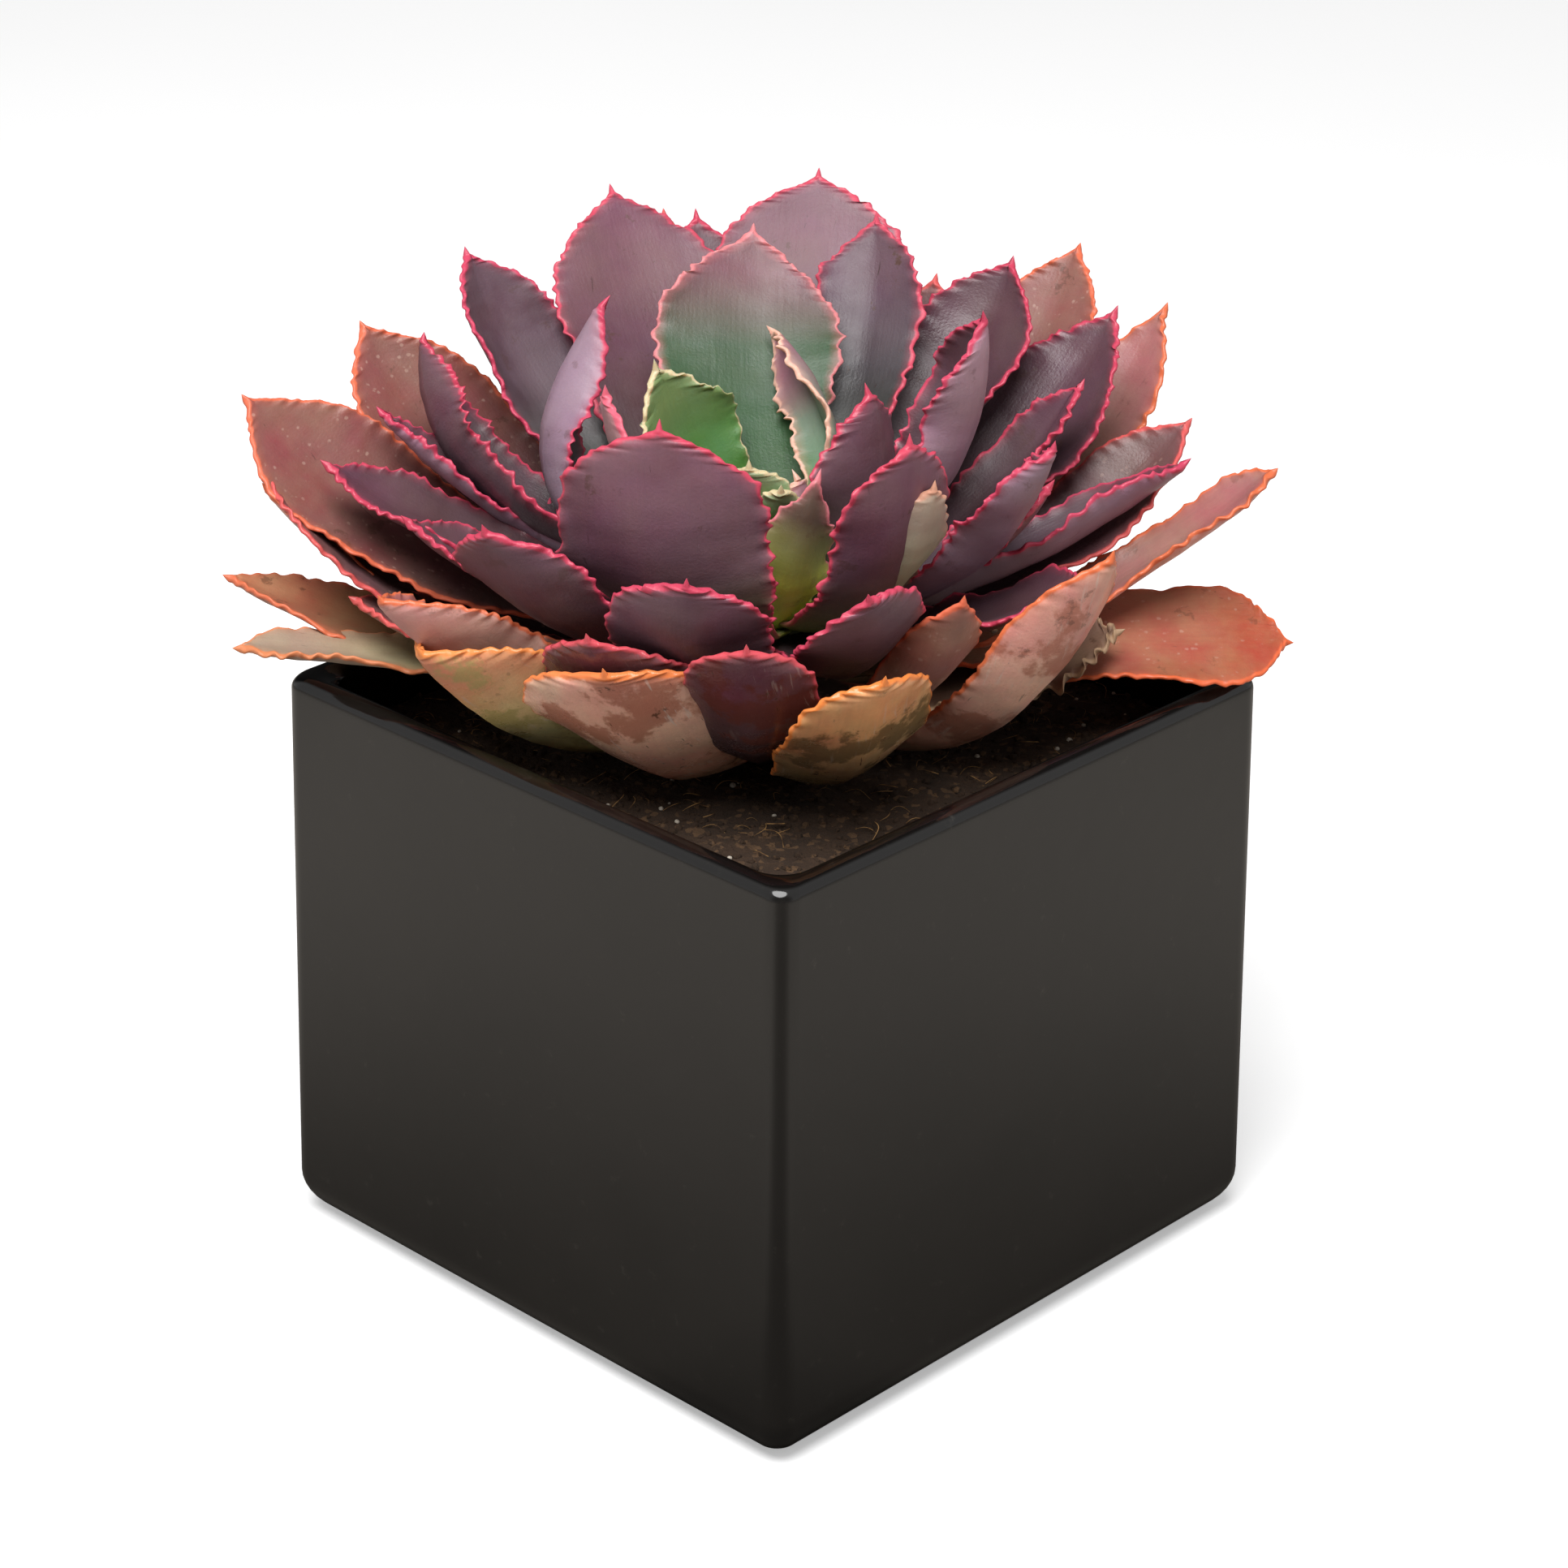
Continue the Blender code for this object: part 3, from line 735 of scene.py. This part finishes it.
    # The thickness: full at the midrib's foot, thin and round at the margin.
    body = (1 - edge * edge) * (1 - 0.55 * blade)
    thick = (EDGE_THICKNESS + (MIDRIB_THICKNESS - EDGE_THICKNESS) * body) * 0.5
    thick = thick.do("MINIMUM", half * 1.1)
    inside = ((1 - edge) * half / EDGE_ROUND).clamp()
    rounding = (inside * (2 - inside)).do("MAXIMUM", 0).do("SQRT")
    skin_place = spot + skin * (face * thick * rounding * end)

    # What the finish reads: the share along, the millimetres from the margin, the face, and the place on
    # the leaf laid flat.
    kept = growth.arrow(along, inset * 1000, face)
    flat = growth.arrow(sign * edge * half * 1000, path * 1000, number * 7)
    for name, value in (("leaf", kept), ("flat", flat)):
        grid = growth.add(
            "GeometryNodeStoreNamedAttribute",
            {0: grid, "Name": name, "Value": value},
            data_type="FLOAT_VECTOR",
            domain="POINT",
        )
    moved = growth.add("GeometryNodeSetPosition", {0: grid, "Position": skin_place})
    welded = growth.add("GeometryNodeMergeByDistance", {0: moved, "Distance": 0.001 * MM})
    growth.end(welded, material)
    return growth


LEAF_TREE = leaf_tree()


def outward(bearing):
    """The level direction at a bearing from the front corner, towards the right in degrees."""
    angle = FRONT + math.radians(bearing)
    return Vector((math.cos(angle), math.sin(angle), 0))


def grow_leaf(name, number, finish, turn, reach, lift, base, leave, width, fold, roll=0, swing=0, bend=0.5,
              start=7, foot=0.42, full=3.4, neck=1.4, ruffle=0.5, tooth=0.6, point=2.1, fine=True):
    """A leaf from its bearing, the reach and lift of its tip, the height and slope of its foot, and form."""
    base_way = outward(turn + swing)
    root = base_way * start * MM + Vector((0, 0, POT_HEIGHT + base * MM))
    tip = outward(turn) * reach * MM + Vector((0, 0, POT_HEIGHT + lift * MM))
    slope = math.radians(leave)
    pull = (tip - root).length * bend
    middle = root + (base_way * math.cos(slope) + Vector((0, 0, math.sin(slope)))) * pull
    shares = [step / RIB_STEPS for step in range(RIB_STEPS + 1)]
    rib = [root * (1 - t) ** 2 + middle * 2 * t * (1 - t) + tip * t**2 for t in shares]
    return LEAF_TREE.grow(
        name,
        Root=root,
        Middle=middle,
        Tip=tip,
        Sideways=outward(turn + swing / 2 + 90),
        Length=sum((b - a).length for a, b in zip(rib, rib[1:])),
        Width=width * MM,
        Fold=math.radians(fold),
        Roll=math.radians(roll),
        Number=float(number),
        Foot=foot,
        Full=full,
        Neck=neck,
        Ruffle=ruffle * MM,
        Tooth=tooth * MM,
        Point=point * MM,
        Stations=STATIONS if fine else STATIONS // 3,
        Around=AROUND if fine else AROUND // 2,
        Material=finish,
    )


class Tier:
    """One tier of leaves, which stand for their node of the frame, and the tier's usual form."""

    def __init__(self, node, slot, first, **usual):
        self.node = node
        self.slot = slot
        self.first = first
        self.usual = usual
        self.count = 0

    def leaf(self, finish, *form, **own):
        """Grows the next leaf: bearing, reach, lift, base, slope, width, fold, and what isn't usual."""
        name = f"{self.slot}_{self.count + 1:02}"
        piece = grow_leaf(name, self.first + self.count, FINISHES[finish], *form, **(self.usual | own))
        keep(piece, self.node)
        self.count += 1


FINISHES = {}


def leaf_finish(name, inner, outer, edge, blush=0.2, band=0.62, bloom=0.1, mottle=0.5, specks=0.0,
                speck_tone="C9A99A", scars=0.3, rough=0.42, glow=0.08, blotch=None, painted_sheen=0.0):
    """A leaf's skin: inner and outer face from foot to tip, the coloured edge, waxy bloom, old marks, and
    pale streaks of painted highlight.
    """
    finish = Finish(name)
    along, margin, face = finish.parts(finish.add("ShaderNodeAttribute", out=1, attribute_name="leaf"))
    flat = finish.add("ShaderNodeAttribute", out=1, attribute_name="flat")
    cross, path, leaf = finish.parts(flat)
    faces = []
    for codes in (outer, inner):
        stops = [(place, tone(code)) for place, code in zip(TONE_PLACES, codes.split())]
        faces.append(finish.add("ShaderNodeValToRGB", {0: along}, stops=stops))
    cloud = finish.noise(flat, 13, detail=3)
    streaks = finish.noise(finish.arrow(cross * 1.1, path * 0.07, leaf), 1.0, detail=3)
    grain = finish.noise(flat, 0.7, detail=3, rough=0.6)
    colour = finish.mix(face.fade(-0.6, 0.6), *faces)
    value = 1 + (cloud - 0.5) * mottle + (streaks - 0.5) * 0.16 + (grain - 0.5) * 0.14
    drift = finish.noise(flat, 19, detail=4, rough=0.62) - 0.5
    colour = finish.add(
        "ShaderNodeHueSaturation",
        {"Hue": 0.5 + drift * 0.1, "Saturation": 1 - drift * 0.4, "Value": value, "Color": colour},
    )
    rubbed = finish.noise(flat, 21, detail=4, rough=0.62).fade(0.3, 0.62)
    inner_side = face * 0.5 + 0.5
    wax = rubbed * (0.45 + (1 - inner_side) * 0.55) * bloom
    colour = finish.mix(wax, colour, tone("A4949F"))
    if specks:
        dots = finish.add("ShaderNodeTexVoronoi", {"Vector": flat, "Scale": 0.5, "Randomness": 1})
        size = finish.noise(flat, 3.1, detail=1)
        spot = (dots + (grain - 0.5) * 0.3).fade(0.3, 0.16) * size.fade(0.5, 0.62) * 0.6
        colour = finish.mix(spot * specks, colour, tone(speck_tone))
    if blotch:
        patch = finish.noise(flat, 15, detail=6, rough=0.62).fade(0.5, 0.58)
        colour = finish.mix(patch * 0.75, colour, tone(blotch))
    old = finish.noise(flat, 8.5, detail=6, rough=0.7).fade(0.61, 0.67)
    colour = finish.mix(old * scars, colour, tone("4F3526"))
    run = finish.arrow(cross * 0.8 + path * 0.15, path * 0.12, leaf)
    scratch = finish.noise(run, 1.0, detail=5, rough=0.6)
    colour = finish.mix(scratch.fade(0.66, 0.70) * scars, colour, tone("3A2220"))
    # Painted highlights: pale streaks that stand in for the glint of light on glossy, wrinkled skin.
    if painted_sheen:
        painted_sheen_streaks = finish.noise(flat, 16, detail=2).fade(0.45, 0.65) * scratch.fade(0.44, 0.34)
        colour = finish.mix(painted_sheen_streaks * painted_sheen, colour, tone("E6D2C6"))
    uneven = (grain - 0.5) * 0.5 + (cloud - 0.5) * 1.4
    band_share = (margin + uneven).fade(band * 1.7, band * 0.55)
    flush = (margin + uneven * 2).fade(band * 5, 0.0) * blush
    tips = along.fade(0.985, 1.01)
    grown = along.fade(0.1, 0.34)
    colour = finish.mix(flush * grown, colour, tone(edge))
    colour = finish.mix((band_share * grown).do("MAXIMUM", tips), colour, tone(edge))
    height = grain * 0.3 + streaks * 0.22 + cloud * 0.8
    FINISHES[name] = finish.done(
        Base_Color=colour,
        Roughness=(rough + (rubbed - 0.5) * 0.14 + (grain - 0.5) * 0.1).clamp(0.12, 0.95),
        Normal=finish.bump(height, SKIN_RELIEF, 0.5),
        Subsurface_Weight=glow,
        Subsurface_Radius=(1.0, 0.55, 0.35),
        Subsurface_Scale=SUBSURFACE_DEPTH,
        Specular_IOR_Level=0.45,
    )


leaf_finish("old_copper", "4C4438 604542 784E48 8C564C", "5A5444 7A5850 96665A A06A5C", "DE6C4C",
            specks=0.6, scars=0.5)
leaf_finish("sun_copper", "5E5238 8A5C44 A0664C A85C42", "6A6244 96684E B07254 B8684C", "E2693F",
            specks=0.5, scars=0.4, rough=0.36, glow=0.12)
leaf_finish("pink_copper", "5A5544 7A5A50 9A6A62 A8716A", "8A7E5C CC9A86 E8B2A4 DCA69A", "E0714A",
            rough=0.35)
leaf_finish("pale_copper", "6A5C44 96705C B07E6C B87E6C", "A08A5E DCA68A F4BCA6 ECAE9A", "E8764A",
            blotch="B8705A", painted_sheen=0.4, scars=0.45, rough=0.3, mottle=0.8)
leaf_finish("wet_copper", "7A6A50 A8705A A8705A B07060", "C6CCA0 EEB496 FABA9E FFC6AC", "F0864C",
            blotch="B0674F", painted_sheen=0.7, scars=0.8, rough=0.22, mottle=0.8, glow=0.12)
leaf_finish("tan_green", "6E6E4A 9A7A58 B07C58 C07A58", "CAD488 DCE296 DCCC8C F0AA7A", "F0904E",
            blotch="B8A868", painted_sheen=0.5, specks=0.5, speck_tone="6A4A34", rough=0.28, glow=0.12)
leaf_finish("olive_tan", "5E6238 7E7048 9C7850 B07650", "707C44 6E6438 9C7A50 F4B47C", "F08A46",
            blotch="5A4A2E", painted_sheen=0.3, scars=0.8, rough=0.22, mottle=0.9)
leaf_finish("olive_copper", "3A4A2A 4E5A35 756842 B67354", "5A5C3C 70684A 8C6C54 A87058", "D8714E",
            scars=0.5)
leaf_finish("grey_green", "82945A 8A9462 968E68 A48E7A", "A0AE74 A4A878 A89C7E A48C7A", "D88458",
            rough=0.4)
leaf_finish("dry_brown", "3A2C22 4A3528 5A4234 6E5240", "3A2C22 4E3A2C 5E4838 7A5C48", "A8886A",
            bloom=0.05, scars=0.8, rough=0.5, mottle=1.0, glow=0.0)
leaf_finish("brown_plum", "3E332E 4C3538 5E3F42 704A4A", "504440 664A4A 7C5856 8C6460", "D65A58",
            specks=0.3)
leaf_finish("wet_plum", "2E2A22 3A2626 482C30 543238", "403C36 442A28 4C2E2E 6A3C40", "D4525C",
            blotch="6E342C", painted_sheen=0.2, scars=0.7, rough=0.2, mottle=1.0)

copper = Tier("copper_leaves", "copper_leaf", 34, tooth=0.3, ruffle=0.45, point=1.7)
copper.leaf("brown_plum", -165, 103, 72, 4, 7, 26, 15)
copper.leaf("brown_plum", 156, 89, 63, 4, 10, 30, 15)
copper.leaf("old_copper", 172, 112, 42, 2, 4, 34, 20, fine=False)
copper.leaf("old_copper", -166, 112, 36, -1, -2, 34, 20, fine=False)
copper.leaf("old_copper", -143, 104, 24, -2, 0, 34, 22)
copper.leaf("old_copper", 150, 110, 30, -2, 0, 36, 22, fine=False)
copper.leaf("old_copper", 178, 108, 12, -6, 4, 34, 20, fine=False)
copper.leaf("old_copper", -118, 105, 62, 0, 12, 38, 28, roll=-22, bend=0.6, full=2.6)
copper.leaf("old_copper", -99, 117, 56, 0, 9, 38, 28, roll=-28, bend=0.6, foot=0.25, full=2.6, neck=2)
copper.leaf("brown_plum", -93, 111, 43, -1, -4, 29, 32, roll=-8, bend=0.55)
copper.leaf("pink_copper", -97, 112, 37, -4, -7, 27, 44, roll=6, bend=0.55)
copper.leaf("brown_plum", -102, 106, 25, -5, -8, 22, 30, roll=6, bend=0.55)
copper.leaf("brown_plum", -85, 91, 20, -3, 0, 26, 30, bend=0.55)
copper.leaf("olive_copper", -94, 120, 18, -6, -1, 26, 28)
copper.leaf("grey_green", -83, 116, 11, -6, 12, 19, 26, foot=0.8, full=5)
copper.leaf("wet_plum", -30, 75, 36, 0, -8, 38, 35, roll=12, bend=0.65)
copper.leaf("wet_plum", -4, 75, 38, -1, -14, 29, 34, bend=0.65, full=7)
copper.leaf("wet_copper", -27, 75, 29, -7, -17, 48, 34,
            roll=16, bend=0.6, start=8, foot=0.2, full=7, neck=2.4)
copper.leaf("tan_green", -57, 87, 25, -7, -12, 46, 62,
            roll=20, bend=0.6, start=8, foot=0.25, full=4, neck=2.0)
copper.leaf("pink_copper", -62, 92, 35, 0, -4, 40, 60, roll=20, bend=0.65)
copper.leaf("old_copper", 144, 119, 66, 4.5, 6, 31, 30, bend=0.6)
copper.leaf("pink_copper", 131, 118, 58, 1, -3, 23, 30, roll=6, bend=0.6)
copper.leaf("brown_plum", 111, 98, 46, 3, 1, 26, 40, roll=18, bend=0.55)
copper.leaf("pink_copper", 98, 110, 42.5, -3, 2, 17, 45, roll=4, full=9, tooth=0.4, point=1.2)
copper.leaf("sun_copper", 93, 113, 6, -1, 11, 33, 12, roll=20, foot=0.25, full=5, neck=2)
copper.leaf("dry_brown", 84, 75, 14, -7, 4, 28, 24, roll=16, tooth=1.6, ruffle=1.2)
copper.leaf("pale_copper", 58, 82, 46, -7, -14, 34, 50, roll=-16, bend=0.6, start=8, foot=0.25, neck=2.0)
copper.leaf("old_copper", 36, 66, 40, 1, -6, 22, 50, roll=-12, bend=0.65)
copper.leaf("olive_tan", 17, 77, 31, -7, -15, 35, 34, roll=10, bend=0.6, start=8, foot=0.2, full=6, neck=2.4)


# The plum leaves: the grown tier in full sun, plum to mauve with a lilac bloom and crimson frilled edges.
# They are thick and stiff, cupped along the midrib, and the outer face carries most of the wax.
leaf_finish("deep_plum", "362C29 3E2A2E 4C343A 5C3C45", "3E3633 463137 563A42 68444E", "C8425C",
            rough=0.36)
leaf_finish("rose_plum", "5A6034 524238 6B4A57 7D5566", "8C9A40 6C6A3C 6A4C52 7C5260", "D04860",
            scars=0.45)
leaf_finish("mauve", "404232 503E3C 604048 744855", "4E4E40 624A54 785668 8A6274", "CE4C62",
            scars=0.5)
leaf_finish("lilac_back", "2E2725 3C2B30 483138 56383F", "6C7258 80707E 907486 9A7A8C", "CC4562",
            bloom=0.25)
leaf_finish("pale_lilac", "3A302E 4A363C 583C44 64424C", "8E9A82 A8929E B890A2 BC92A2", "CC4562",
            bloom=0.2)
leaf_finish("green_channel", "2C3C28 344032 403A3E 5C3E4C", "3C4C38 464A46 584A56 6C5264", "CE4C62",
            scars=0.8)
leaf_finish("green_foot", "86A27E 5A665C 523F46 5A3C46", "86A07E 80887C 7C6C7C 80687C", "CC4562",
            bloom=0.3)
leaf_finish("olive_plum", "A8C83E 92A03C 5A5232 523A3C", "E8F85E DCEC5A 98A040 5E4A3C", "E8808A",
            glow=0.3)
leaf_finish("ivory_side", "A4C48A B0C898 B8C0A2 B89A92", "C8D8A4 BCD0A0 C0D0A8 C8B4A0", "E2A58A")

plum = Tier("plum_leaves", "plum_leaf", 7)
plum.leaf("mauve", 174, 87, 86, 21, 22, 46, 12)
plum.leaf("green_channel", 163, 76, 80, 22, 22, 28, 34, swing=-8)
plum.leaf("mauve", -156, 94, 82, 19, 18, 44, 14, full=2.8)
plum.leaf("deep_plum", -168, 91, 75, 14, 9, 34, 15)
plum.leaf("deep_plum", 142, 86, 72, 18, 12, 34, 50, bend=0.65)
plum.leaf("rose_plum", -27.5, 51, 74, 14, 6, 46, 24,
          roll=22, bend=0.65, start=11, foot=0.5, full=4.5, point=1.8)
plum.leaf("rose_plum", 35, 48, 69, 15, 10, 31, 24, roll=8, bend=0.6, foot=0.62, full=4.5)
plum.leaf("ivory_side", 42, 49, 58, 17, 9, 24, 50, roll=-10, bend=0.6)
plum.leaf("deep_plum", 62, 22, 69, 21, 28, 34, 40, roll=-10, bend=0.55, full=2.4)
plum.leaf("olive_plum", 20, 26, 55, 14, 20, 20, 40, swing=-20, bend=0.6, foot=0.9, full=1.6, tooth=0.8)
plum.leaf("pale_lilac", 105, 46, 78, 21, 12, 34, 80, roll=-25, swing=10, bend=0.7, foot=0.3)
plum.leaf("lilac_back", -126, 47, 75, 21, 4, 25, 64, roll=32, swing=28, bend=1.0)
plum.leaf("green_foot", -130, 91, 76, 18, 10, 33, 45, roll=5, bend=0.65, foot=0.6)
plum.leaf("green_foot", -124, 60, 38, 14, 4, 30, 20)
plum.leaf("deep_plum", -111, 83, 66, 20, 4, 28, 70, roll=28, swing=10, bend=0.85)
plum.leaf("lilac_back", -104, 89, 52, 15, 6, 14, 70, roll=10, bend=0.6)
plum.leaf("deep_plum", -93, 97, 46, 13, 4, 26, 35, roll=-5, bend=0.55, foot=0.25, full=2.4, neck=2)
plum.leaf("deep_plum", -83, 79, 39, 11, -2, 24, 36, bend=0.55)
plum.leaf("deep_plum", -50, 77, 53, 12, 0, 37, 26, roll=18, bend=0.65)
plum.leaf("deep_plum", -14, 72, 50, 11, -2, 35, 24, roll=6, swing=-4, bend=0.72, foot=0.7, full=6.0)
plum.leaf("deep_plum", 127, 95, 64, 13, 6, 36, 35, roll=10, bend=0.6, full=2.2)
plum.leaf("deep_plum", 115, 74, 56, 15, 8, 20, 56, bend=0.6)
plum.leaf("lilac_back", 73, 61, 60, 16, 8, 28, 60, roll=-8, bend=0.65)
plum.leaf("deep_plum", 91, 59, 44, 13, 4, 24, 30, bend=0.55)
plum.leaf("lilac_back", 103, 92, 42, 11, 2, 22, 60, roll=-20)
plum.leaf("deep_plum", 15, 74, 48, 12, 0, 30, 32, roll=14, swing=8, bend=0.65, foot=0.6, full=4.0)
plum.leaf("deep_plum", 72, 69, 32, 10, 0, 26, 30, bend=0.55)


# The green leaves: the young heart, sage to bright green, with cream and pink edges that let light through.
# They are the newest growth at the stem's tip, still upright round the growing point.
leaf_finish("sage", "1E4A18 2A5228 3A5236 7A5058", "3C5C36 46604A 586054 7A6264", "DE8488",
            blush=0.35, bloom=0.04, mottle=0.3, scars=0.0, glow=0.3)
leaf_finish("bright_green", "4A8026 46782C 4C7C36 748C58", "6CA83A 66A040 66984C 88986C", "D8C49C",
            blush=0.12, band=0.34, mottle=0.3, scars=0.0, glow=0.4)
leaf_finish("channel_green", "5A8440 587A52 6A7A66 A06E78", "7AA072 768F74 848C7C A87A82", "EFB6A2",
            blush=0.3, mottle=0.3, scars=0.0, glow=0.3)
leaf_finish("young_mauve", "55603C 7A7260 9A8078 A8807E", "66704A 8A7E70 A08484 B08888", "E0667A",
            scars=0.0, glow=0.2)

green = Tier("green_leaves", "green_leaf", 0)
green.leaf("sage", -175, 65, 80, 30, 32, 42, 14, swing=8, full=1.65)
green.leaf("bright_green", -120, 30, 65, 28, 26, 30, 40, roll=-10, swing=-10, full=2.2)
green.leaf("channel_green", -179, 42, 64, 32, 48, 18, 75, roll=-60, swing=-70, start=6)
green.leaf("bright_green", -20, 16, 54, 33, 50, 17, 40, ruffle=0.25, tooth=0.35)
green.leaf("channel_green", 52, 6, 47, 34, 60, 9, 30)
green.leaf("bright_green", 4, 18, 50, 33, 50, 10, 40, ruffle=0.25, tooth=0.3)
green.leaf("young_mauve", -76, 37, 68, 28.5, 20, 34, 14, bend=0.6, full=2.2)


# The studio: a plain white floor, one broad soft light overhead, and a grey world that the camera sees white.
# The world is darker behind the camera and behind the plant, and the floor darker in front of the pot, so
# the glaze mirrors a dark front corner between two grey faces, and a dark rim.
FLOOR_SIZE = 14
FLOOR_FRONT = (0.69, -0.72, 0)
CAMERA_WAY = Vector((0.607, -0.635, 0.2)).normalized()
BEHIND_WAY = Vector((-0.6, 0.64, 0.46)).normalized()
LIGHT_PLACE = Vector((0.25, -0.45, 1.2))
LIGHT_TARGET = Vector((0, 0, 0.15))
LIGHT_SIZE = 0.9
LIGHT_POWER = 18
CAMERA_PLACE = (0.6058, -0.6301, 0.5262)
CAMERA_BEARING = 43.71
CAMERA_DIP = 25.51
CAMERA_LEAN = 0.53


def white_floor():
    """White to the camera, and a warm grey in what the glaze mirrors, with a painted shadow near the pot and
    painted shade in front.
    """
    finish = Finish("white_floor")
    place = finish.place()
    white = finish.mix(finish.noise(place, 400, detail=2), tone("FAFAFA"), tone("FFFFFF"))
    seen = finish.add("ShaderNodeLightPath", out=0)
    front = place.do("NORMALIZE").do("DOT_PRODUCT", FLOOR_FRONT).fade(0.86, 0.99)
    # Painted shadow and shade, seen only in reflections: darker near the pot as a contact shadow, and darker
    # in front as under a dark card.
    shade = finish.mix(place.do("LENGTH").fade(70, 330), tone("625D57"), tone("CCC5BC"))
    shade = finish.mix(front * 0.75, shade, tone("2A2826"))
    return finish.done(
        Base_Color=finish.mix(seen, shade, white),
        Roughness=0.6,
        Specular_IOR_Level=0.2,
        Emission_Color=finish.mix(seen, (0, 0, 0, 1), white),
        Emission_Strength=0.36,
    )


def grey(level):
    """An even grey, from 0 to 1."""
    return (level, level, level, 1)


bpy.ops.mesh.primitive_plane_add(size=FLOOR_SIZE, location=(0, 0, 0))
floor = bpy.context.object
floor.name = "floor"
floor.data.materials.append(white_floor())

bpy.context.scene.view_settings.view_transform = "Standard"
world = bpy.data.worlds.new("studio")
bpy.context.scene.world = world
world.use_nodes = True
studio = Web(world.node_tree)
studio.tree.nodes.clear()
ray = studio.add("ShaderNodeTexCoord", out=0)
shade = studio.mix(ray.do("DOT_PRODUCT", CAMERA_WAY).fade(0.55, 0.9), grey(0.6), grey(0.16))
shade = studio.mix(ray.do("DOT_PRODUCT", BEHIND_WAY).fade(0.5, 0.8), shade, grey(0.03))
shade = studio.mix(studio.add("ShaderNodeLightPath", out=0), shade, grey(1))
background = studio.add("ShaderNodeBackground", {"Color": shade, "Strength": 1.0})
world_output = studio.tree.nodes.new("ShaderNodeOutputWorld")
studio.tree.links.new(background.socket, world_output.inputs["Surface"])

light = bpy.data.lights.new("top_light", "AREA")
light.shape = "DISK"
light.size = LIGHT_SIZE
light.energy = LIGHT_POWER
lamp = bpy.data.objects.new("top_light", light)
bpy.context.scene.collection.objects.link(lamp)
lamp.location = LIGHT_PLACE
lamp.rotation_euler = (LIGHT_TARGET - LIGHT_PLACE).to_track_quat("-Z", "Y").to_euler()

lens = bpy.data.cameras.new("camera")
lens.lens = 100
lens.sensor_width = 36
camera = bpy.data.objects.new("camera", lens)
bpy.context.scene.collection.objects.link(camera)
camera.location = CAMERA_PLACE
camera.rotation_euler = (
    Matrix.Rotation(math.radians(CAMERA_BEARING), 3, "Z")
    @ Matrix.Rotation(math.radians(90 - CAMERA_DIP), 3, "X")
    @ Matrix.Rotation(math.radians(CAMERA_LEAN), 3, "Z")
).to_euler()
bpy.context.scene.camera = camera

bpy.context.view_layer.update()
